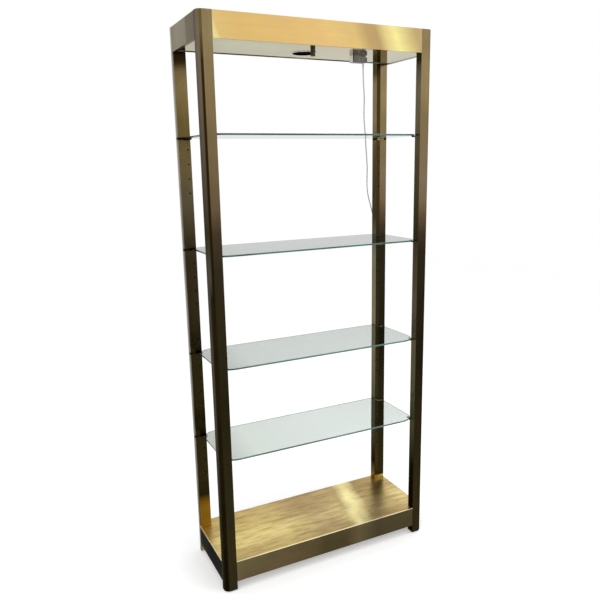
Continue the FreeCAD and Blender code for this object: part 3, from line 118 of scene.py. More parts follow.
TAIL_POINTS = [(0.333, 0.2552, 0.0062), (0.352, 0.2522, 0.0048), (0.373, 0.25, 0.0075)]
print(f"{len(LEAD_POINTS)} points down to the coil")

# %% [markdown]
# ## The tied coil
# The spare length is wound flat, as from a shop: a lower layer that spirals inwards and an upper
# one that spirals out again over it, each turn a lead's thickness from the next.

# %% Turns of the coil
LEAD_DIAMETER = 0.005
COIL_MIDDLE = Vector((0.310, 0.222, 0))
COIL_TURNS, POINTS_A_TURN = 4.5, 16
OUTER_TURN, TURN_STEP = 0.0330, 0.0052
LOW_LAYER, HIGH_LAYER = 0.0026, 0.0077
RISE_START, RISE_END = 2.05, 2.45


def coil_point(turns):
    """Where the lead is after this many turns from the coil's front."""
    inward = min(turns, COIL_TURNS - turns)
    radius = OUTER_TURN - TURN_STEP * inward
    risen = min(max((turns - RISE_START) / (RISE_END - RISE_START), 0), 1)
    height = LOW_LAYER + (HIGH_LAYER - LOW_LAYER) * risen
    angle = -math.pi / 2 - 2 * math.pi * turns
    return COIL_MIDDLE + Vector((radius * math.cos(angle), radius * math.sin(angle), height))


coil_points = [coil_point(step / POINTS_A_TURN)
               for step in range(int(COIL_TURNS * POINTS_A_TURN) + 1)]
print(f"{len(coil_points)} points round the coil")

# %% The lead as one curve
STEPS_A_POINT, ROUNDNESS = 6, 3
lead_points = [Vector(point) for point in (*LEAD_POINTS, *coil_points, *TAIL_POINTS)]
lead_curve = bpy.data.curves.new("supply_lead", "CURVE")
lead_curve.dimensions = "3D"
lead_spline = lead_curve.splines.new("NURBS")
lead_spline.points.add(len(lead_points) - 1)
for spot, point in zip(lead_spline.points, lead_points):
    spot.co = (*point, 1)
    spot.radius = LEAD_DIAMETER / 2
lead_spline.order_u = 3
lead_spline.use_endpoint_u = True
lead_spline.resolution_u = STEPS_A_POINT
lead_curve.bevel_depth = 1
lead_curve.bevel_resolution = ROUNDNESS
lead_curve.use_fill_caps = True
lead = bpy.data.objects.new("supply_lead", lead_curve)
bpy.context.scene.collection.objects.link(lead)
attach(lead, "frame")
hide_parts("cord_lead", "cord_coil", "cord_tail")
print(f"lead of {len(lead_points)} points, {LEAD_DIAMETER * 1000:.0f} mm thick")

# %% [markdown]
# ## Tie of the coil
# A short strip of soft plastic keeps the turns together.  A torus is a ready-made closed loop; it
# is squeezed to the flat oblong of the bundle it goes round.

# %% Tie
TIE_REACH = 0.0105
TIE_THICKNESS = 0.0009
TIE_WIDENING = 2.6  # the strip is this much wider than it is thick
BUNDLE_WIDTH, BUNDLE_HEIGHT = 0.0215, 0.0122
BUNDLE_FROM_COIL = -0.0275
TIE_LIFT = 0.0006  # keeps the strip off the floor
SMOOTH_BELOW = math.radians(35)


def finished(name):
    """Name the object in hand and put its place and size into its mesh."""
    made = bpy.context.object
    made.name = name
    bpy.ops.object.transform_apply(location=True, rotation=True, scale=True)
    bpy.ops.object.shade_smooth_by_angle(angle=SMOOTH_BELOW)
    bpy.ops.object.select_all(action="DESELECT")
    return made


bundle_middle = COIL_MIDDLE + Vector((BUNDLE_FROM_COIL, 0, BUNDLE_HEIGHT / 2 + TIE_LIFT))
bpy.ops.mesh.primitive_torus_add(major_segments=40, minor_segments=10, major_radius=TIE_REACH,
                                 minor_radius=TIE_THICKNESS, location=bundle_middle,
                                 rotation=(math.pi / 2, 0, 0))
bpy.ops.transform.resize(
    value=(BUNDLE_WIDTH / 2 / TIE_REACH, TIE_WIDENING, BUNDLE_HEIGHT / 2 / TIE_REACH))
coil_tie = finished("coil_tie")
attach(coil_tie, "frame")
print("tie", [round(side, 4) for side in coil_tie.dimensions])

# %% [markdown]
# ## Plug moulding
# The plug is soft PVC moulded over its blades: a flat body with ribbed finger grips, narrower
# towards the lead, and a tapered sleeve with grooves that lets the lead bend.  A cube is cut across
# where the ribs come, its rear end drawn in and each strip of its sides inset and sunk; a cone
# becomes the sleeve by the same two steps.  Cutting first gives faces that can be picked by place.

# %% Picking faces and cutting across
def pick(test):
    """In edit mode, select just the faces whose middle and normal pass the test."""
    bpy.ops.object.mode_set(mode="OBJECT")
    bpy.context.tool_settings.mesh_select_mode = (False, False, True)
    mesh = bpy.context.object.data
    for part in (*mesh.vertices, *mesh.edges):
        part.select = False
    for face in mesh.polygons:
        face.select = test(face.center, face.normal)
    bpy.ops.object.mode_set(mode="EDIT")


def cut_across(places):
    """Cut the mesh in hand across its length at these x places."""
    for place in places:
        bpy.ops.mesh.select_all(action="SELECT")
        bpy.ops.mesh.bisect(plane_co=(place, 0, 0), plane_no=(1, 0, 0))


# %% Body of the plug with its grips
SLEEVE_LENGTH = 0.016
RIB_PLACES = (0.006, 0.009, 0.012, 0.015, 0.018)
RIB_MARGIN, GRIP_DEPTH = 0.0006, 0.0008
REAR_WIDTH_SHARE, REAR_HEIGHT_SHARE = 0.66, 0.74
CORNER_RADIUS, CORNER_STEPS, CORNER_ABOVE = 0.0016, 3, math.radians(50)
plug_low, plug_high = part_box("plug_body")
plug_middle = (plug_low + plug_high) / 2
plug_start = plug_low.x + SLEEVE_LENGTH
plug_size = (plug_high.x - plug_start, plug_high.y - plug_low.y, plug_high.z - plug_low.z)
bpy.ops.mesh.primitive_cube_add(size=1, scale=plug_size, location=(
    plug_start + plug_size[0] / 2, plug_middle.y, plug_middle.z))
bpy.ops.object.transform_apply(location=True, rotation=True, scale=True)
plug_body = bpy.context.object
bpy.ops.object.mode_set(mode="EDIT")
cut_across([plug_start + place for place in RIB_PLACES])
pick(lambda middle, normal: normal.x < -0.9)
bpy.ops.transform.resize(value=(1, REAR_WIDTH_SHARE, REAR_HEIGHT_SHARE),
                         center_override=(plug_start, plug_middle.y, plug_middle.z))
first_rib, last_rib = plug_start + RIB_PLACES[0], plug_start + RIB_PLACES[-1]
pick(lambda middle, normal: abs(normal.y) > 0.9 and first_rib < middle.x < last_rib)
bpy.ops.mesh.inset(thickness=RIB_MARGIN, depth=-GRIP_DEPTH, use_individual=True)
bpy.ops.object.mode_set(mode="OBJECT")
rounding = plug_body.modifiers.new("rounding", "BEVEL")
rounding.width, rounding.segments = CORNER_RADIUS, CORNER_STEPS
rounding.limit_method, rounding.angle_limit = "ANGLE", CORNER_ABOVE
bpy.ops.object.modifier_apply(modifier="rounding")
print("plug body", [round(side, 4) for side in plug_body.dimensions])

# %% Sleeve of the plug
SLEEVE_OVERLAP = 0.002
SLEEVE_WIDE, SLEEVE_NARROW, SLEEVE_SIDES = 0.0045, 0.0029, 28
FIRST_GROOVE, GROOVE_STEP, GROOVE_EDGES = 0.002, 0.0015, 9
GROOVE_MARGIN, GROOVE_DEPTH, GROOVE_NEAR = 0.0002, 0.0006, 0.0004
GROOVE_PLACES = [FIRST_GROOVE + GROOVE_STEP * step for step in range(GROOVE_EDGES)]
bpy.ops.object.select_all(action="DESELECT")
bpy.ops.mesh.primitive_cone_add(vertices=SLEEVE_SIDES, radius1=SLEEVE_WIDE, radius2=SLEEVE_NARROW,
                                depth=SLEEVE_LENGTH + SLEEVE_OVERLAP, rotation=(0, -math.pi / 2, 0),
                                location=(plug_low.x + (SLEEVE_LENGTH + SLEEVE_OVERLAP) / 2,
                                          plug_middle.y, plug_middle.z))
bpy.ops.object.transform_apply(location=True, rotation=True, scale=True)
bpy.ops.object.mode_set(mode="EDIT")
cut_across([plug_low.x + place for place in GROOVE_PLACES])
grooves = [plug_low.x + (a + b) / 2 for a, b in zip(GROOVE_PLACES[::2], GROOVE_PLACES[1::2])]
pick(lambda middle, normal: abs(normal.x) < 0.5
     and any(abs(middle.x - groove) < GROOVE_NEAR for groove in grooves))
bpy.ops.mesh.inset(thickness=GROOVE_MARGIN, depth=-GROOVE_DEPTH)
bpy.ops.object.mode_set(mode="OBJECT")
plug_body.select_set(True)
bpy.context.view_layer.objects.active = plug_body
bpy.ops.object.join()
plug_moulding = finished("plug_moulding")
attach(plug_moulding, "frame")
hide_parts("plug_body")
print("plug", [round(side, 4) for side in plug_moulding.dimensions])

# %% [markdown]
# ## Helpers for the finishes
# Colours are written as sRGB hex values, which is how they look on a screen, and turned to the
# linear values that the shader works with.  One helper adds a node with its settings and links.

# %% Colour and node helpers
def linear(code):
    """Linear red, green, blue and alpha of an sRGB hex colour."""
    shares = [int(code[place:place + 2], 16) / 255 for place in (1, 3, 5)]
    return (*(s / 12.92 if s <= 0.04045 else ((s + 0.055) / 1.055) ** 2.4 for s in shares), 1)


def add(tree, kind, inputs=None, stops=None, **settings):
    """A node with its settings; inputs are values or sockets, stops the colours of a ramp."""
    made = tree.nodes.new(kind)
    for name, value in settings.items():
        setattr(made, name, value)
    for name, value in (inputs or {}).items():
        if isinstance(value, bpy.types.NodeSocket):
            tree.links.new(value, made.inputs[name])
        else:
            made.inputs[name].default_value = value
    for index, (position, colour) in enumerate(stops or []):
        points = made.color_ramp.elements
        point = points[index] if index < 2 else points.new(position)
        point.position = position
        point.color = linear(colour)
    return made


def new_material(name):
    """A material with an empty tree but for its shader, and the object's own coordinates."""
    material = bpy.data.materials.new(name)
    material.use_nodes = True
    tree = material.node_tree
    tree.nodes.clear()
    shader = add(tree, "ShaderNodeBsdfPrincipled")
    add(tree, "ShaderNodeOutputMaterial", {"Surface": shader.outputs["BSDF"]})
    place = add(tree, "ShaderNodeTexCoord").outputs["Object"]
    return material, tree, shader, place


def facing(tree):
    """Which way the surface looks: the X, Y and Z of its normal."""
    return add(tree, "ShaderNodeSeparateXYZ", {
        "Vector": add(tree, "ShaderNodeNewGeometry").outputs["Normal"]}).outputs


def seen_directly(tree):
    """1 for rays that come from the camera or by way of metal or glass, and 0 for the others."""
    rays = add(tree, "ShaderNodeLightPath").outputs
    seen = add(tree, "ShaderNodeMath", {0: rays["Is Camera Ray"], 1: rays["Is Glossy Ray"]},
               operation="MAXIMUM")
    return add(tree, "ShaderNodeMath", {0: seen.outputs["Value"], 1: rays["Is Transmission Ray"]},
               operation="MAXIMUM").outputs["Value"]


def dress(material, *names):
    """Give the named pieces of the model this finish."""
    for name in names:
        slots = nodes[name].material_slots
        if not slots:
            nodes[name].data.materials.append(material)
        for each in slots:
            each.material = material
    print(f"{material.name}: {', '.join(names)}")


# %% [markdown]
# ## Brass
# All the sheet and tube is rolled brass, polished and lacquered, and now old.  What the eye sees
# is a warm metal with a soft blur, cloudy patches where the lacquer has aged, fine rubbing lines
# and small dark specks.  One function lays these on a ground colour.  A real mirror turns white at
# a glancing angle, while tarnish stays dull there, so the shader's edge tint is kept grey.

# %% Brass maker
CLOUD_SIZE = 0.16  # lacquer ages in patches as large as a hand
GRAIN_SIZE = 0.0035  # polishing lines lie 0.1 mm apart, too fine to show: drawn 3.5 mm apart
SPECK_SIZE = 0.012  # at most one pit of 1 to 3 mm in each 12 mm
SPECK_PATCH = 0.0333  # pits come in groups about 33 mm wide
SPECK_BROWN = "#3A2A14"
CLOUD_SPAN = (0.42, 0.72)  # a span is the two noise values between which something fades in
HAZE_SPAN, HAZE = (0.35, 0.75), 0.1  # clouded lacquer is rougher by this much
SPECK_SPAN, SPECK_RADII = (0.56, 0.66), (0.14, 0.05)  # radii as shares of SPECK_SIZE
LINE_SPAN, LINES_BRIGHT = (0.3, 0.7), 1.04
LINE_RELIEF, LINE_DEPTH = 0.12, 0.0002


def brass(name, ground, patina, patina_share=0.4, roughness=0.22, grain=(1, 1, 0.02),
          speck_share=0.5, stretch=(1, 1, 1), edge="#C8C8C8", lines_dark=0.92):
    """Aged polished brass; ground is a colour, or a function that adds nodes and gives a socket."""
    material, tree, shader, place = new_material(name)
    clean = ground(tree, place) if callable(ground) else linear(ground)
    stretched = add(tree, "ShaderNodeMapping", {"Vector": place, "Scale": stretch})
    clouds = add(tree, "ShaderNodeTexNoise", {
        "Vector": stretched.outputs["Vector"], "Scale": 1 / CLOUD_SIZE, "Detail": 6,
        "Roughness": 0.62})
    cloud_mask = add(tree, "ShaderNodeMapRange", {
        "Value": clouds.outputs["Fac"], "From Min": CLOUD_SPAN[0], "From Max": CLOUD_SPAN[1],
        "To Max": patina_share})
    cloudy = add(tree, "ShaderNodeMixRGB", {
        "Fac": cloud_mask.outputs["Result"], "Color1": clean, "Color2": linear(patina)})
    lines = add(tree, "ShaderNodeMapping", {"Vector": place, "Scale": grain})
    grain_noise = add(tree, "ShaderNodeTexNoise", {
        "Vector": lines.outputs["Vector"], "Scale": 1 / GRAIN_SIZE, "Detail": 3})
    specks = add(tree, "ShaderNodeTexVoronoi", {"Vector": place, "Scale": 1 / SPECK_SIZE})
    speck_noise = add(tree, "ShaderNodeTexNoise", {
        "Vector": place, "Scale": 1 / SPECK_PATCH, "Detail": 2})
    speck_edge = add(tree, "ShaderNodeMapRange", {
        "Value": specks.outputs["Distance"], "From Min": SPECK_RADII[1],
        "From Max": SPECK_RADII[0], "To Min": 1, "To Max": 0})
    speck_where = add(tree, "ShaderNodeMapRange", {
        "Value": speck_noise.outputs["Fac"], "From Min": SPECK_SPAN[0],
        "From Max": SPECK_SPAN[1], "To Max": speck_share})
    speck_mask = add(tree, "ShaderNodeMath", {
        0: speck_edge.outputs["Result"], 1: speck_where.outputs["Result"]}, operation="MULTIPLY")
    specked = add(tree, "ShaderNodeMixRGB", {
        "Fac": speck_mask.outputs["Value"], "Color1": cloudy.outputs["Color"],
        "Color2": linear(SPECK_BROWN)})
    shade = add(tree, "ShaderNodeMapRange", {
        "Value": grain_noise.outputs["Fac"], "From Min": LINE_SPAN[0], "From Max": LINE_SPAN[1],
        "To Min": lines_dark, "To Max": LINES_BRIGHT})
    toned = add(tree, "ShaderNodeMixRGB", {
        "Fac": 1, "Color1": specked.outputs["Color"], "Color2": shade.outputs["Result"]},
        blend_type="MULTIPLY")
    haze = add(tree, "ShaderNodeMapRange", {
        "Value": clouds.outputs["Fac"], "From Min": HAZE_SPAN[0], "From Max": HAZE_SPAN[1],
        "To Min": roughness, "To Max": roughness + HAZE})
    waves = add(tree, "ShaderNodeBump", {
        "Height": grain_noise.outputs["Fac"], "Strength": LINE_RELIEF, "Distance": LINE_DEPTH})
    tree.links.new(toned.outputs["Color"], shader.inputs["Base Color"])
    tree.links.new(haze.outputs["Result"], shader.inputs["Roughness"])
    tree.links.new(waves.outputs["Normal"], shader.inputs["Normal"])
    shader.inputs["Metallic"].default_value = 1
    shader.inputs["Specular Tint"].default_value = linear(edge)
    return material


# %% [markdown]
# ## Colours that change along a piece
# Colour on the object changes along its height and length: partly tarnish, where hands, polish
# and damp reach one end first, and partly painted reflection and shade.  A colour ramp whose stops
# are places in metres says that directly.  A little noise on the place keeps the change from being
# ruled with a straight edge.

# %% Ramp along a direction
# A tone's edge, in tarnish and in painted reflection alike, bends about once in 170 mm.
TONE_BEND_SIZE = 0.1667  # a tarnish edge bends about once in 170 mm


def along(direction, stops, through=(0, 0, 0), wander=0.03):
    """A ground for brass: stops are (metres from a point, colour) along a direction."""
    low, high = stops[0][0], stops[-1][0]

    def ground(tree, place):
        noise = add(tree, "ShaderNodeTexNoise", {
            "Vector": place, "Scale": 1 / TONE_BEND_SIZE, "Detail": 3})
        offset = add(tree, "ShaderNodeVectorMath", {0: place, 1: through}, operation="SUBTRACT")
        reach = add(tree, "ShaderNodeVectorMath", {0: offset.outputs["Vector"], 1: direction},
                    operation="DOT_PRODUCT")
        moved = add(tree, "ShaderNodeMath", {
            0: noise.outputs["Fac"], 1: wander, 2: reach.outputs["Value"]},
            operation="MULTIPLY_ADD")
        share = add(tree, "ShaderNodeMapRange", {
            "Value": moved.outputs["Value"], "From Min": low + wander / 2,
            "From Max": high + wander / 2})
        shares = [((at - low) / (high - low), colour) for at, colour in stops]
        return add(tree, "ShaderNodeValToRGB", {"Fac": share.outputs["Result"]},
                   stops=shares).outputs["Color"]

    return ground


def give_way(tree, under, over, measure, start, end):
    """The first colour, giving way to the second while the measure goes from start to end."""
    share = add(tree, "ShaderNodeMapRange", {"Value": measure, "From Min": start, "From Max": end})
    return add(tree, "ShaderNodeMixRGB", {
        "Fac": share.outputs["Result"], "Color1": under, "Color2": over}).outputs["Color"]


# %% [markdown]
# ## Posts
# The tubes' colour is painted reflection of a dark room: golden brown above, changing to nearly
# black-brown below the second shelf.  Each post's left face has its own painted reflection, the
# rounded corner of the front left one is painted dark brown as the reflection it shows, and the
# rear right one is dark down its row of support holes, above a pale band at its foot.  Both rear
# posts are darker just under each shelf.  So there are four finishes from one maker, with ramps by
# height.

# %% Painted reflection of the posts by height
# Painted reflection of a dark room by height; a darkening from about 1.89 m up is painted shade.
FRONT_LEFT_PAINTED_REFLECTION = [
    (0.10, "#2E2916"), (0.75, "#1F1C0E"), (1.20, "#322B1D"), (1.32, "#443828"), (1.41, "#6A5941"),
    (1.70, "#82704E"), (1.95, "#93805B"),
]
RIGHT_POSTS_PAINTED_REFLECTION = [
    (0.10, "#2C2613"), (0.75, "#1C180B"), (1.20, "#2C2619"), (1.27, "#403528"), (1.33, "#604E39"),
    (1.40, "#7C684E"), (1.47, "#84705A"), (1.60, "#80704F"), (1.70, "#867450"), (1.80, "#98845D"),
    (1.95, "#96815D"),
]
DECK_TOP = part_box("base_deck")[1].z
# The rear right post is pale up to the first of these heights.  Its face is dark again by the
# second, and its row of holes by the third.
PALE_FOOT, FACE_DARKENS, ROW_DARKENS = DECK_TOP + 0.012, DECK_TOP + 0.018, DECK_TOP + 0.020
REAR_RIGHT_PAINTED_REFLECTION = [
    (0.10, "#D8C88A"), (PALE_FOOT, "#C9B678"), (FACE_DARKENS, "#2A2411"), *RIGHT_POSTS_PAINTED_REFLECTION[1:],
]
REAR_LEFT_PAINTED_REFLECTION = [
    (0.10, "#CDA645"), (0.20, "#A37F2C"), (0.25, "#2C2712"), (0.75, "#26210F"), (1.20, "#352D1E"),
    (1.30, "#48402B"), (1.41, "#5E5440"), (1.60, "#70603C"), (1.70, "#6F6035"), (1.80, "#8B7750"),
    (1.86, "#847049"), (1.888, "#3A2C16"), (1.95, "#2E210F"),
]
FRONT_FACE_PAINTED_REFLECTION = {
    "post_front_left": FRONT_LEFT_PAINTED_REFLECTION, "post_front_right": RIGHT_POSTS_PAINTED_REFLECTION,
    "post_rear_left": REAR_LEFT_PAINTED_REFLECTION, "post_rear_right": REAR_RIGHT_PAINTED_REFLECTION,
}
SIDE_PAINTED_REFLECTION = {
    "post_front_left": [(0.3, "#2A2718"), (0.7, "#4B473C"), (1.2, "#4C473C"), (1.32, "#37331F"),
                        (1.45, "#4D463A"), (1.95, "#76695A")],
    "post_rear_left": [(0.2, "#6A655A"), (0.5, "#7E7A6E"), (1.25, "#86827A"), (1.5, "#908B7D"),
                       (1.95, "#9A958A")],
    "post_rear_right": [(0.12, "#7E6A3C"), (0.2, "#1E1A0B"), (0.45, "#4E503A"), (0.9, "#7A775B"),
                        (1.15, "#76725A"), (1.32, "#403824"), (1.6, "#5F5039"), (1.7, "#84765A"),
                        (1.85, "#84765A"), (1.888, "#4B4328")],
    "post_front_right": [(0.3, "#1C190C"), (0.6, "#52523A"), (1.0, "#544C3B"), (1.3, "#34301F"),
                         (1.55, "#4B4530"), (1.8, "#6E6452"), (1.88, "#57513F"), (1.9, "#35311F")],
}
# The front left post's rounded corner and shoulder are painted dark, as the reflection they show.
CORNER_PAINTED_REFLECTION = [
    (0.1, "#120E04"), (1.2, "#1E190A"), (1.6, "#2A1E08"), (1.85, "#34250A"), (1.95, "#6A5C33"),
]
SHOULDER = [(0.1, "#120E04"), (1.10, "#221A0B"), (1.17, "#4C473C"), (1.32, "#37331F"),
            (1.45, "#4D463A"), (1.95, "#76695A")]
# The rear left post's side, a painted reflection, reaches round onto the front face up to this x.
PALE_STRIP_EDGE, PALE_STRIP_WIDTH = -0.4352, 0.0015
HOLE_ROW_EDGE, HOLE_ROW_BLEND = 0.4085, 0.001
HOLE_ROW_BROWN = [
    (PALE_FOOT, "#B99A58"), (ROW_DARKENS, "#3E2A14"), (0.3, "#382814"), (0.5, "#2E281A"),
    (1.2, "#2E281A"), (1.6, "#4A3A1C"), (1.86, "#4A391A"), (1.9, "#2E1F0C"),
]
# A face takes another painted reflection as its normal turns: where in the normal that starts, and
# where it ends.
BACK_TURN = (-0.6, -0.3)
CORNER_TURN, SHOULDER_TURN, SIDE_TURN = (-0.24, -0.34), (-0.58, -0.70), (-0.82, -0.94)
SHELF_FACES = [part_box(f"glass_shelf_{place}")[1].z for place in ("bottom", "lower", "upper", "top")]
# The rear posts are darker in a band this high just under each shelf face.
SHELF_BAND_REACH, SHELF_BAND_TONE = 0.006, "#1A1206"
DARK_AT_SHELVES = ("post_rear_left", "post_rear_right")
print("deck at", round(DECK_TOP, 3), "shelf faces at", [round(face, 3) for face in SHELF_FACES])


# %% Ground of one post
def post_ground(name):
    """Painted reflection by height; left face, corner and row of holes in their own tones."""
    def ground(tree, place):
        across = add(tree, "ShaderNodeSeparateXYZ", {"Vector": place})
        normal = facing(tree)
        up = (0, 0, 1)
        colour = along(up, FRONT_FACE_PAINTED_REFLECTION[name], wander=0.02)(tree, place)
        if name == "post_rear_right":
            row = along(up, HOLE_ROW_BROWN)(tree, place)
            colour = give_way(tree, colour, row, across.outputs["X"],
                              HOLE_ROW_EDGE + HOLE_ROW_BLEND, HOLE_ROW_EDGE - HOLE_ROW_BLEND)
        back = along(up, FRONT_LEFT_PAINTED_REFLECTION)(tree, place)
        colour = give_way(tree, colour, back, normal["Y"], *BACK_TURN)
        if name == "post_front_left":
            for tones, turn in ((CORNER_PAINTED_REFLECTION, CORNER_TURN), (SHOULDER, SHOULDER_TURN)):
                colour = give_way(tree, colour, along(up, tones)(tree, place), normal["X"], *turn)
        side = along(up, SIDE_PAINTED_REFLECTION[name])(tree, place)
        colour = give_way(tree, colour, side, normal["X"], *SIDE_TURN)
        # Its pale painted reflection of the side also covers the front face's outermost strip.
        if name == "post_rear_left":
            colour = give_way(tree, colour, side, across.outputs["X"],
                              PALE_STRIP_EDGE, PALE_STRIP_EDGE - PALE_STRIP_WIDTH)
        # A darker band just under each shelf face.
        for face in SHELF_FACES if name in DARK_AT_SHELVES else ():
            distance = add(tree, "ShaderNodeMath", {0: across.outputs["Z"], 1: face - SHELF_BAND_REACH},
                           operation="SUBTRACT")
            near = add(tree, "ShaderNodeMath", {0: distance.outputs["Value"]}, operation="ABSOLUTE")
            colour = give_way(tree, colour, linear(SHELF_BAND_TONE), near.outputs["Value"],
                              SHELF_BAND_REACH, SHELF_BAND_REACH / 2)
        return colour

    return ground


for name in SIDE_PAINTED_REFLECTION:
    glance = "#FFFFFF" if name == "post_rear_left" else "#B4B4B4"
    post_brass = brass(f"patina_and_painted_reflection_brass_{name}", post_ground(name), "#3E3019", patina_share=0.2,
                       roughness=0.24, edge=glance)
    dress(post_brass, name)
cap_brass = brass("aged_cap_brass", "#8A7A58", "#4A3E28", roughness=0.28)
dress(cap_brass, "post_top_caps")

# %% [markdown]
# ## Canopy
# The fascia is the brightest brass, a warm yellow with a dull tan patch and then a painted
# highlight towards its right end, and pinkish clouds where the lacquer is worn.  The left end is
# painted greyer, as the reflection it shows, and its front half browner.  Both change along the
# sheet, so they use ramps along x and y.

# %% Canopy brass
FASCIA_MIDDLE = (0, 0, 1.96)
FASCIA_LEAN = (1, 0, 0.45)
# The pale yellow stops from 0.242 to 0.33 m are a painted highlight.
FASCIA_COLOURS_AND_HIGHLIGHT = [
    (-0.392, "#EBDD92"), (-0.38, "#DFC27C"), (-0.30, "#DEBB73"), (0.02, "#E9C57E"),
    (0.12, "#E0C27D"), (0.168, "#BFA36D"), (0.205, "#B8A06B"), (0.242, "#E9D48D"),
    (0.285, "#FCF29F"), (0.33, "#E0CE88"), (0.375, "#C2AB76"),
]
fascia_brass = brass("bright_fascia_brass", along(FASCIA_LEAN, FASCIA_COLOURS_AND_HIGHLIGHT, FASCIA_MIDDLE, 0.02),
                     "#D9A977", patina_share=0.35, roughness=0.18, grain=(0.02, 1, 1),
                     speck_share=0.1, stretch=(0.7, 1, 1.3), lines_dark=0.985)
dress(fascia_brass, "canopy_front_fascia", "canopy_rear_apron", "canopy_top_panel")
# The ends' tones are painted reflection: browner at the front, greyer at the rear.
END_TONES = [(-0.13, "#766957"), (-0.048, "#7B705B"), (-0.034, "#948D77"), (0.06, "#9C947C"),
             (0.13, "#8F8872")]
canopy_side_brass = brass("canopy_end_brass_painted_reflection", along((0, 1, 0), END_TONES, wander=0.004),
                          "#7E6F5C", patina_share=0.3, roughness=0.26, grain=(1, 0.02, 1),
                          speck_share=0.15)
dress(canopy_side_brass, "canopy_left_apron")
FOLD_TURN, FOLD_TONE = (-0.3, -0.7), "#CFCBBE"


def right_end_ground(tree, place):
    """Painted reflection outside, pale where the sheet faces inwards or down."""
    outside = along((0, 1, 0), END_TONES, wander=0.004)(tree, place)
    normal = facing(tree)
    folded = give_way(tree, outside, linear(FOLD_TONE), normal["Z"], *FOLD_TURN)
    return give_way(tree, folded, linear(FOLD_TONE), normal["X"], *FOLD_TURN)


right_end_brass = brass("right_end_brass_painted_reflection", right_end_ground, "#7E6F5C", patina_share=0.15,
                        roughness=0.26, grain=(1, 0.02, 1), speck_share=0.1)
dress(right_end_brass, "canopy_right_apron")

# %% [markdown]
# ## Base
# The deck is rubbed clean along its middle, paler to the left and duller at the rear, with one
# long bright rub across it and a thin painted highlight along its front and left edges.  All over
# it lie bright and dull streaks: the old lacquer has come off in scales, drawn out along the sheet
# by wiping.  Fine scratches blur what it mirrors, hence the higher roughness.  The front apron's
# olive brown is painted reflection of a dark floor, and the ends are nearly black.

# %% Deck
DECK_LENGTH_TONES = [
    (-0.40, "#E9D78C"), (-0.15, "#EAD68F"), (-0.02, "#CDB881"), (0.06, "#D0BA85"), (0.12, "#E2D092"),
    (0.20, "#D6C28A"), (0.29, "#C9B276"), (0.35, "#D8C07C"), (0.40, "#F2DE9C"),
]
DECK_DEPTH_TONES = [
    (-0.16, "#E2DDD8"), (-0.115, "#E8E4E0"), (-0.095, "#FFFFFF"), (0.0, "#FFFFFF"),
    (0.02, "#EAE5DF"), (0.16, "#DCD2CA"),
]
RUB_MIDDLE, RUB_ACROSS = (0.168, -0.08, 0), (0.97, -0.24, 0)
RUB_HALF_WIDTH, RUB_CORE, RUB_WANDER = 0.05, 0.008, 0.09
SCALE_SIZE = 0.016  # scales of lacquer are about 16 mm across and five times as long
SCALE_STRETCH = (0.2, 1, 1)
SCALE_TONES = [(0.34, "#D3CABC"), (0.50, "#F3F0EA"), (0.62, "#FFFFFF")]
RUB_BEND = 0.0909  # the edge of a rub bends about once in 90 mm
# A thin painted highlight runs along the deck's front and left edges, this wide.
EDGE_HIGHLIGHT_WIDTH = 0.003
EDGE_HIGHLIGHT_END = EDGE_HIGHLIGHT_WIDTH * 1.5
deck_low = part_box("base_deck")[0]
print("deck from", [round(side, 3) for side in deck_low])


def deck_ground(tree, place):
    """The deck's tone along its length and its depth, the bright rub, and a painted edge highlight.
    """
    length = along((1, 0, 0), DECK_LENGTH_TONES)(tree, place)
    depth = along((0, 1, 0), DECK_DEPTH_TONES, wander=0.02)(tree, place)
    both = add(tree, "ShaderNodeMixRGB", {"Fac": 1, "Color1": length, "Color2": depth},
               blend_type="MULTIPLY")
    drawn_out = add(tree, "ShaderNodeMapping", {"Vector": place, "Scale": SCALE_STRETCH})
    scales = add(tree, "ShaderNodeTexNoise", {
        "Vector": drawn_out.outputs["Vector"], "Scale": 1 / SCALE_SIZE, "Detail": 5,
        "Roughness": 0.6})
    flecks = add(tree, "ShaderNodeValToRGB", {"Fac": scales.outputs["Fac"]}, stops=SCALE_TONES)
    flecked = add(tree, "ShaderNodeMixRGB", {
        "Fac": 1, "Color1": both.outputs["Color"], "Color2": flecks.outputs["Color"]},
        blend_type="MULTIPLY")
    offset = add(tree, "ShaderNodeVectorMath", {0: place, 1: RUB_MIDDLE}, operation="SUBTRACT")
    reach = add(tree, "ShaderNodeVectorMath", {0: offset.outputs["Vector"], 1: RUB_ACROSS},
                operation="DOT_PRODUCT")
    noise = add(tree, "ShaderNodeTexNoise", {"Vector": place, "Scale": 1 / RUB_BEND, "Detail": 4})
    centred = add(tree, "ShaderNodeMath", {0: noise.outputs["Fac"], 1: 0.5}, operation="SUBTRACT")
    moved = add(tree, "ShaderNodeMath", {
        0: centred.outputs["Value"], 1: RUB_WANDER, 2: reach.outputs["Value"]},
        operation="MULTIPLY_ADD")
    distance = add(tree, "ShaderNodeMath", {0: moved.outputs["Value"]}, operation="ABSOLUTE")
    rubbed = give_way(tree, flecked.outputs["Color"], linear("#FBEFAA"), distance.outputs["Value"],
                      RUB_HALF_WIDTH, RUB_CORE)
    split = add(tree, "ShaderNodeSeparateXYZ", {"Vector": place})
    front_edge_highlight = give_way(tree, rubbed, linear("#FFF3BE"), split.outputs["Y"],
                         deck_low.y + EDGE_HIGHLIGHT_END, deck_low.y + EDGE_HIGHLIGHT_WIDTH)
    return give_way(tree, front_edge_highlight, linear("#F6E7B0"), split.outputs["X"],
                    deck_low.x + EDGE_HIGHLIGHT_END, deck_low.x + EDGE_HIGHLIGHT_WIDTH)


deck_brass = brass("rubbed_deck_brass", deck_ground, "#B6986A", patina_share=0.42, roughness=0.3,
                   grain=(0.02, 1, 1), speck_share=0.6, stretch=(0.6, 1.8, 1), edge="#FFFFFF",
                   lines_dark=0.95)
dress(deck_brass, "base_deck")

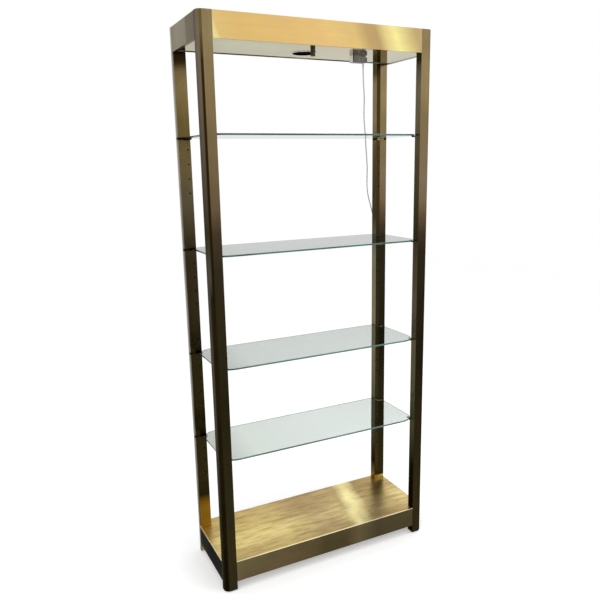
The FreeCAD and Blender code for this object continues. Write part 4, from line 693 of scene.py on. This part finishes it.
# %% Aprons of the base and the brass fittings
# The aprons' olive brown, by place along them, is painted reflection of a dark floor.
APRON_TONES = [(-0.40, "#665A3E"), (-0.12, "#5D5036"), (-0.02, "#4B4029"), (0.08, "#4F432D"),
               (0.135, "#64593E"), (0.22, "#4B4430"), (0.40, "#4A422C")]
apron_brass = brass("olive_apron_brass", along((1, 0, 0), APRON_TONES), "#3A2E1A", patina_share=0.3,
                    roughness=0.28, grain=(0.02, 1, 1), speck_share=0.4)
dress(apron_brass, "base_front_apron", "base_rear_apron")
END_APRON_TONES = [(0.037, "#38362D"), (0.052, "#33322A"), (0.060, "#1B1914"), (0.118, "#1A1711")]
end_apron_brass = brass("nearly_black_apron_brass", along((0, 0, 1), END_APRON_TONES, wander=0.006),
                        "#0E0C08", patina_share=0.4, roughness=0.3, grain=(1, 0.02, 1),
                        speck_share=0.2, edge="#A8A8A8")
dress(end_apron_brass, "base_left_apron", "base_right_apron")
fitting_brass = brass("turned_fitting_brass", "#D8B972", "#A98B54", patina_share=0.5,
                      grain=(1, 0.05, 1), speck_share=0.1)
dress(fitting_brass, "canopy_panel_screws", "switch_nut", "switch_shaft", "plug_blades")

# %% [markdown]
# ## Shelf supports
# The tabs under the glass are the same brass, gone dark brown, except at the rear right post,
# where they carry a painted highlight.

# %% Supports
# The bright tabs at the rear right post are a painted highlight.
TO_THE_REAR, TO_THE_RIGHT = (0.0, 0.02), (0.30, 0.32)  # where the bright ones begin


def support_ground(tree, place):
    """Dark brown brass, with a painted highlight at the rear right post."""
    split = add(tree, "ShaderNodeSeparateXYZ", {"Vector": place})
    dark = linear("#241A0B")
    rear = give_way(tree, dark, linear("#A79A74"), split.outputs["Y"], *TO_THE_REAR)
    return give_way(tree, dark, rear, split.outputs["X"], *TO_THE_RIGHT)


support_brass = brass("dark_support_brass", support_ground, "#1A1208", patina_share=0.3,
                      roughness=0.3)
dress(support_brass, "shelf_supports_top", "shelf_supports_upper", "shelf_supports_lower",
      "shelf_supports_bottom")

# %% [markdown]
# ## Float glass
# The shelves are 6 mm float glass.  Looked through squarely it is nearly clear, and the lower one
# looks along it, the more glass the light passes and the greyer green it gets; a Layer Weight node
# gives that.  Along its length the iron in it makes the polished edges a deep green-blue, so the
# faces whose normal is level get that colour and let little light through.

# %% Float glass
FACE_SQUARE, FACE_GLANCING = "#DEE7E2", "#2E332F"
EDGE_DARK, EDGE_LIGHT = "#0E463D", "#2E7668"
EDGE_STREAK = 0.1111  # the green of an edge changes about once in 110 mm
EDGE_TURN = (0.9, 0.6)  # a face is an edge once its normal is this near to level
GLANCE_SPAN = (0.5, 0.9)
LEFT_EDGE_TURN, LEFT_EDGE_TONE = (-0.5, -0.8), "#25251F"
EDGE_CLEARNESS, GLASS_IOR = 0.03, 1.52
GLASS_LENGTH_TONES = [(-0.39, "#D2D0CA"), (-0.27, "#F4F4F2"), (0.1, "#FFFFFF")]


def float_glass(name):
    """Clear glass that greys at a low angle, with deep green edges."""
    material, tree, shader, place = new_material(name)
    normal = facing(tree)
    level = add(tree, "ShaderNodeMath", {0: normal["Z"]}, operation="ABSOLUTE")
    edge = add(tree, "ShaderNodeMapRange", {
        "Value": level.outputs["Value"], "From Min": EDGE_TURN[0],
        "From Max": EDGE_TURN[1]}).outputs["Result"]
    streaks = add(tree, "ShaderNodeTexNoise", {
        "Vector": place, "Scale": 1 / EDGE_STREAK, "Detail": 3})
    green = add(tree, "ShaderNodeValToRGB", {"Fac": streaks.outputs["Fac"]}, stops=[
        (0.38, EDGE_DARK), (0.62, EDGE_LIGHT)])
    glance = add(tree, "ShaderNodeLayerWeight", {"Blend": 0.5}).outputs["Facing"]
    face = give_way(tree, linear(FACE_SQUARE), linear(FACE_GLANCING), glance, *GLANCE_SPAN)
    dulled = along((1, 0, 0), GLASS_LENGTH_TONES)(tree, place)
    face = add(tree, "ShaderNodeMixRGB", {"Fac": 1, "Color1": face, "Color2": dulled},
               blend_type="MULTIPLY").outputs["Color"]
    rim = give_way(tree, green.outputs["Color"], linear(LEFT_EDGE_TONE), normal["X"],
                   *LEFT_EDGE_TURN)
    tint = give_way(tree, face, rim, level.outputs["Value"], *EDGE_TURN)
    clear = add(tree, "ShaderNodeMapRange", {"Value": edge, "To Min": 1, "To Max": EDGE_CLEARNESS})
    tree.links.new(tint, shader.inputs["Base Color"])
    tree.links.new(clear.outputs["Result"], shader.inputs["Transmission Weight"])
    shader.inputs["Roughness"].default_value = 0
    shader.inputs["IOR"].default_value = GLASS_IOR
    return material


shelf_glass = float_glass("float_glass")
dress(shelf_glass, "glass_shelf_top", "glass_shelf_upper", "glass_shelf_lower",
      "glass_shelf_bottom")

# %% [markdown]
# ## Polished sheet
# The soffit is a thin plated sheet, polished until it mirrors.  It is never quite flat, so a very
# low bump bends what it shows, and a greenish bloom dulls it to the left.  Along its rear fold is
# a strip of painted shade, dark grey and not metal.  The lamp's ring is the same, but black inside,
# where the lamp is.

# %% Soffit and ring
BLOOM = "#CFD1BF"
BUCKLE_SIZE = 0.1429  # thin sheet bends about once in 140 mm
BUCKLE_STRENGTH, BUCKLE_DEPTH = 0.25, 0.0006
BLOOM_SIZE = 0.25  # bloom lies in patches of 250 mm
BLOOM_SPAN, BLOOM_EDGE, BLOOM_HAZE = (0.3, 0.8), (0.5, 0.7), 0.08
FOLD_BLEND = 0.002


def plated(name, ground, roughness=0.05, edge="#DCDCDC", painted_shade_from=None):
    """Plated sheet on a ground that adds its own nodes; behind the given depth it is painted shade.
    """
    material, tree, shader, place = new_material(name)
    waves = add(tree, "ShaderNodeTexNoise", {
        "Vector": place, "Scale": 1 / BUCKLE_SIZE, "Detail": 1})
    bump = add(tree, "ShaderNodeBump", {
        "Height": waves.outputs["Fac"], "Strength": BUCKLE_STRENGTH, "Distance": BUCKLE_DEPTH})
    bloom = add(tree, "ShaderNodeTexNoise", {"Vector": place, "Scale": 1 / BLOOM_SIZE, "Detail": 5})
    haze = add(tree, "ShaderNodeMapRange", {
        "Value": bloom.outputs["Fac"], "From Min": BLOOM_SPAN[0], "From Max": BLOOM_SPAN[1],
        "To Min": roughness, "To Max": roughness + BLOOM_HAZE})
    tone = give_way(tree, ground(tree, place), linear(BLOOM), bloom.outputs["Fac"], *BLOOM_EDGE)
    tree.links.new(tone, shader.inputs["Base Color"])
    tree.links.new(haze.outputs["Result"], shader.inputs["Roughness"])
    tree.links.new(bump.outputs["Normal"], shader.inputs["Normal"])
    shader.inputs["Metallic"].default_value = 1
    shader.inputs["Specular Tint"].default_value = linear(edge)
    # Behind that depth the sheet is painted shade, with no metal and no shine.
    if painted_shade_from:
        depth = add(tree, "ShaderNodeSeparateXYZ", {"Vector": place})
        metal_share = add(tree, "ShaderNodeMapRange", {
            "Value": depth.outputs["Y"], "From Min": painted_shade_from, "From Max": painted_shade_from + FOLD_BLEND,
            "To Min": 1, "To Max": 0})
        tree.links.new(metal_share.outputs["Result"], shader.inputs["Metallic"])
        shader.inputs["Specular IOR Level"].default_value = 0
    return material


SOFFIT_TONES = [(-0.40, "#BBB7A2"), (-0.15, "#C4BEAD"), (0.05, "#D3CDB9"), (0.20, "#D8D4C6"),
                (0.30, "#DAD7CE"), (0.40, "#CFCCC4")]
# The rear fold, from this depth, is a strip of painted shade: dark grey, not metal.
REAR_FOLD, FOLD_PAINTED_SHADE = 0.090, "#4E4C47"


def soffit_ground(tree, place):
    """Pale grey along the soffit, with painted shade at its rear fold."""
    length = along((1, 0, 0), SOFFIT_TONES)(tree, place)
    split = add(tree, "ShaderNodeSeparateXYZ", {"Vector": place})
    return give_way(tree, length, linear(FOLD_PAINTED_SHADE), split.outputs["Y"],
                    REAR_FOLD, REAR_FOLD + FOLD_BLEND)


soffit_sheet = plated("polished_soffit_sheet", soffit_ground, edge="#DCDACC", painted_shade_from=REAR_FOLD)
dress(soffit_sheet, "soffit_panel")
RING_INNER_RADIUS, RING_BLEND = 0.0423, 0.0002


def ring_ground(tree, place):
    """Bright outside the lamp can's radius, black inside it."""
    flat = add(tree, "ShaderNodeVectorMath", {0: place, 1: (1, 1, 0)}, operation="MULTIPLY")
    radius = add(tree, "ShaderNodeVectorMath", {0: flat.outputs["Vector"]}, operation="LENGTH")
    return give_way(tree, linear("#A9A498"), linear("#050505"), radius.outputs["Value"],
                    RING_INNER_RADIUS + RING_BLEND, RING_INNER_RADIUS)


ring_chrome = plated("plated_ring", ring_ground, roughness=0.08, edge="#FFFFFF")
dress(ring_chrome, "lamp_trim_ring")

# %% [markdown]
# ## Small parts
# Screws and brackets are zinc-plated steel, the lamp's can is painted matt black inside, the
# lampholder is glazed ceramic, and the leads and mouldings are PVC and nylon.  They share one
# maker: a base colour broken up by a fine noise, a roughness that wanders, and a shallow bump.

# %% Maker for the small parts
# A broad noise is about eight times as coarse as the grain.  Both together set the tone over the
# first span; the broad one sets the roughness over the second, by the dulling either way.
BROAD_SHARE, RELIEF_SHARE = 0.12, 0.1
TONE_SPAN, DULLING_SPAN, DULLING = (0.75, 1.25), (0.3, 0.7), 0.05
# The seam's tone and blend, and the normal's turn to the left face, which is painted pale as lit.
SEAM_TONE, SEAM_BLEND, LIT_SIDE_TURN = "#33302F", 0.0005, (-0.7, -0.9)


def moulded(name, colour, shade, roughness, grain_size, bump=0.2, metallic=0, coat=0,
            painted_lit_left_face=None, seam_at=None):
    """A plain stuff in two close colours with a grain of the given size in metres."""
    material, tree, shader, place = new_material(name)
    grain = add(tree, "ShaderNodeTexNoise", {"Vector": place, "Scale": 1 / grain_size, "Detail": 4})
    broad = add(tree, "ShaderNodeTexNoise", {
        "Vector": place, "Scale": BROAD_SHARE / grain_size, "Detail": 2})
    both = add(tree, "ShaderNodeMath", {0: grain.outputs["Fac"], 1: broad.outputs["Fac"]},
               operation="ADD")
    tone = add(tree, "ShaderNodeMapRange", {
        "Value": both.outputs["Value"], "From Min": TONE_SPAN[0], "From Max": TONE_SPAN[1]})
    mix = add(tree, "ShaderNodeMixRGB", {
        "Fac": tone.outputs["Result"], "Color1": linear(colour), "Color2": linear(shade)})
    haze = add(tree, "ShaderNodeMapRange", {
        "Value": broad.outputs["Fac"], "From Min": DULLING_SPAN[0], "From Max": DULLING_SPAN[1],
        "To Min": roughness - DULLING, "To Max": roughness + DULLING})
    relief = add(tree, "ShaderNodeBump", {
        "Height": grain.outputs["Fac"], "Strength": bump, "Distance": grain_size * RELIEF_SHARE})
    base = mix.outputs["Color"]
    # The box's left side is painted pale, as if lit from the left, behind a dark seam.
    if painted_lit_left_face:  # the box's left side is paler, behind a dark seam
        across = add(tree, "ShaderNodeSeparateXYZ", {"Vector": place})
        base = give_way(tree, base, linear(SEAM_TONE), across.outputs["X"],
                        seam_at + SEAM_BLEND, seam_at)
        base = give_way(tree, base, linear(painted_lit_left_face), facing(tree)["X"], *LIT_SIDE_TURN)
    tree.links.new(base, shader.inputs["Base Color"])
    tree.links.new(haze.outputs["Result"], shader.inputs["Roughness"])
    tree.links.new(relief.outputs["Normal"], shader.inputs["Normal"])
    shader.inputs["Metallic"].default_value = metallic
    shader.inputs["Coat Weight"].default_value = coat
    return material


# %% Finishes of the small parts
# Each grain is really 0.1 to 0.5 mm, too fine to show, so the size given is several times that.
# Zinc plating: a cool pale metal that blurs what it mirrors.
zinc = moulded("zinc_plated_steel", "#B9B8B2", "#9A9890", 0.35, 0.002, metallic=1)
dress(zinc, "canopy_brackets", "canopy_bracket_screws", "base_brackets", "base_bracket_screws",
      "base_board_screws", "junction_box_bracket", "junction_box_screw", "knob_set_screw",
      "post_bottom_plugs")
# Sprayed matt paint: hardly any light comes back, so the lamp's opening reads as a black hole.
matt_black = moulded("matt_black_paint", "#030303", "#080807", 0.6, 0.0015)
dress(matt_black, "lamp_can", "lamp_baffle", "switch_body")
# Chemically browned brass: a dark metal with small soft glints on the knurls.
bronze = moulded("bronzed_knob", "#5F5346", "#4A3D2F", 0.34, 0.0012, metallic=1)
dress(bronze, "switch_knob")
# Injection-moulded ABS with a spark-eroded grain: a mid grey that scatters light evenly.  Its left
# face is painted near white, as if lit from the left.
box_plastic = moulded("grey_moulded_plastic", "#86807D", "#5F5A57", 0.5, 0.0022, bump=0.5,
                      painted_lit_left_face="#F6F3EF", seam_at=0.1935)
dress(box_plastic, "junction_box")
# Extruded PVC: pale grey with a soft, slightly greasy shine.
lead_pvc = moulded("light_grey_pvc", "#DCDCDA", "#CBCBC9", 0.42, 0.0015)
dress(lead_pvc, "cord_strain_relief", "plug_body")
for piece in (lead, coil_tie, plug_moulding):
    piece.data.materials.append(lead_pvc)
# Pressed rubber: dull black, with no clear highlight.
black_rubber = moulded("black_rubber", "#1B1A19", "#262422", 0.65, 0.001, bump=0.4)
dress(black_rubber, "wire_grommet", "canopy_wires")
# Clear rubber on dark brass: it shows the dark tab below, so it reads as a dark grey dot.
pad_rubber = moulded("clear_rubber_pads", "#2A2A28", "#353431", 0.5, 0.001)
dress(pad_rubber, "shelf_pads")
# Moulded nylon: a warm white with a faint shine.
nylon = moulded("white_nylon", "#DAD7CC", "#CBC7B9", 0.4, 0.0015)
dress(nylon, "terminal_block")
# Glazed ceramic: a creamy white under a clear hard gloss.
ceramic = moulded("glazed_ceramic", "#E6E2D8", "#DAD5C8", 0.25, 0.004, bump=0.05, coat=0.6)
dress(ceramic, "lampholder")
# Blown glass silvered inside: a pale grey that mirrors softly.
lamp_glass = moulded("reflector_lamp_glass", "#C9CBCC", "#B7BABC", 0.15, 0.004, bump=0.1,
                     metallic=0.6)
dress(lamp_glass, "reflector_lamp")
# Sanded birch plywood: a dry light tan with a cloudy figure.
plywood = moulded("birch_plywood", "#B9935F", "#A57F4E", 0.6, 0.006, bump=0.3)
dress(plywood, "base_board")

# %% [markdown]
# ## Levelling glides
# Each glide is a black nylon pad moulded on a zinc-plated stem.  Both are one piece of the model,
# so height on the piece tells them apart: dull black below, bright metal above.  The pad is the
# wide part, so its top is the highest corner of the mesh that lies further out than the stem.  The
# finish is fixed to the piece, and so it goes along when the glide is screwed out.

# %% Glides
STEM_CLEAR = 0.006
PAD_BLEND = 0.0002
NYLON_GRAIN = 0.0011  # a moulded grain is about 0.1 mm; drawn ten times as coarse
PAD_TONES = [(0.35, "#1B1A19"), (0.65, "#262422")]
STEM_TONES = [(0.35, "#9A9890"), (0.65, "#B9B8B2")]
GLIDE_ROUGHNESS = 0.42
glide_low, glide_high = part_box("levelling_glide_front_left")
glide_axis = (glide_low + glide_high).xy / 2
glide_corners = [corner.co for corner in nodes["levelling_glide_front_left"].data.vertices]
PAD_TOP = max(co.z for co in glide_corners if (co.xy - glide_axis).length > STEM_CLEAR)
print(f"pad up to {PAD_TOP * 1000:.1f} mm, stem up to {glide_high.z * 1000:.1f} mm")
glide_finish, tree, shader, place = new_material("nylon_pad_on_zinc_plated_stem")
height = add(tree, "ShaderNodeSeparateXYZ", {"Vector": place})
grain = add(tree, "ShaderNodeTexNoise", {"Vector": place, "Scale": 1 / NYLON_GRAIN, "Detail": 3})
pad = add(tree, "ShaderNodeValToRGB", {"Fac": grain.outputs["Fac"]}, stops=PAD_TONES)
stem = add(tree, "ShaderNodeValToRGB", {"Fac": grain.outputs["Fac"]}, stops=STEM_TONES)
glide_tone = give_way(tree, pad.outputs["Color"], stem.outputs["Color"], height.outputs["Z"],
                      PAD_TOP, PAD_TOP + PAD_BLEND)
metal = add(tree, "ShaderNodeMapRange", {
    "Value": height.outputs["Z"], "From Min": PAD_TOP, "From Max": PAD_TOP + PAD_BLEND})
tree.links.new(glide_tone, shader.inputs["Base Color"])
tree.links.new(metal.outputs["Result"], shader.inputs["Metallic"])
shader.inputs["Roughness"].default_value = GLIDE_ROUGHNESS
dress(glide_finish, "levelling_glide_front_left", "levelling_glide_front_right",
      "levelling_glide_rear_left", "levelling_glide_rear_right")

# %% [markdown]
# ## Studio
# A pale floor, a white surround and three large soft lamps.  Rays that come straight from the
# camera, or by way of metal or glass, see plain white; the light that falls on the object is set
# apart from it, so the white needs no extra light.  The lamps shape the matt pieces only: in
# polished metal they would stand on top of the white and burn out the colour, so gloss doesn't
# see them.

# %% Floor
bpy.ops.mesh.primitive_plane_add(size=12, location=(0, 0, 0))
floor = finished("studio_floor")
floor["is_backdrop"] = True
floor_paint, tree, shader, place = new_material("pale_floor_paint")
PAINT_PATCH = 0.5  # rolled paint varies from one half metre to the next
PAINT_TONES = [(0.3, "#E9E9E9"), (0.7, "#EDEDED")]
FLOOR_ROUGHNESS, FLOOR_GLOW = 0.9, 0.34
mottle = add(tree, "ShaderNodeTexNoise", {"Vector": place, "Scale": 1 / PAINT_PATCH, "Detail": 4})
paint = add(tree, "ShaderNodeValToRGB", {"Fac": mottle.outputs["Fac"]}, stops=PAINT_TONES)
tree.links.new(paint.outputs["Color"], shader.inputs["Base Color"])
shader.inputs["Roughness"].default_value = FLOOR_ROUGHNESS
shine = add(tree, "ShaderNodeMath", {0: seen_directly(tree), 1: FLOOR_GLOW}, operation="MULTIPLY")
tree.links.new(shine.outputs["Value"], shader.inputs["Emission Strength"])
shader.inputs["Emission Color"].default_value = (1, 1, 1, 1)
floor.data.materials.append(floor_paint)

# %% Surround
STUDIO_LIGHT = 0.75
world = bpy.data.worlds.new("studio")
bpy.context.scene.world = world
world.use_nodes = True
tree = world.node_tree
tree.nodes.clear()
lit = add(tree, "ShaderNodeBackground", {"Color": (1, 1, 1, 1), "Strength": STUDIO_LIGHT})
white = add(tree, "ShaderNodeBackground", {"Color": (1, 1, 1, 1), "Strength": 1})
surround = add(tree, "ShaderNodeMixShader", {
    "Fac": seen_directly(tree), 1: lit.outputs["Background"], 2: white.outputs["Background"]})
add(tree, "ShaderNodeOutputWorld", {"Surface": surround.outputs["Shader"]})

# %% Lamps
LAMPS = [
    ("key_softbox", (1.9, -2.4, 2.5), 2.2, 24),
    ("fill_softbox", (-2.6, -1.6, 2.2), 2.4, 20),
    ("top_softbox", (0.3, -0.6, 3.6), 2.4, 26),
]
AIM = Vector((0, 0, 1.0))
for name, spot, side, watts in LAMPS:
    bpy.ops.object.light_add(type="AREA", location=spot)
    lamp = bpy.context.object
    lamp.name = name
    lamp.rotation_euler = (AIM - Vector(spot)).to_track_quat("-Z", "Y").to_euler()
    lamp.visible_glossy = False
    lamp.data.shape = "SQUARE"
    lamp.data.size = side
    lamp.data.energy = watts
bpy.context.scene.view_settings.view_transform = "Standard"
print(f"{len(LAMPS)} soft lamps")

# %% Sizes and last line
visual_low, visual_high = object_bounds()
BOX_SHARE, BOX_MARGIN = 0.03, 0.010
proud = [(max(c - v, 0), max(w - d, 0), BOX_SHARE * (d - c) + BOX_MARGIN)
         for c, d, v, w in zip(cad_low, cad_high, visual_low, visual_high)]
inside = all(low <= room and high <= room for low, high, room in proud)
grown = zip(visual_high - visual_low, cad_high - cad_low)
print("size difference", [round(visual - cad, 4) for visual, cad in grown],
      "inside the box" if inside else "TOO LARGE")
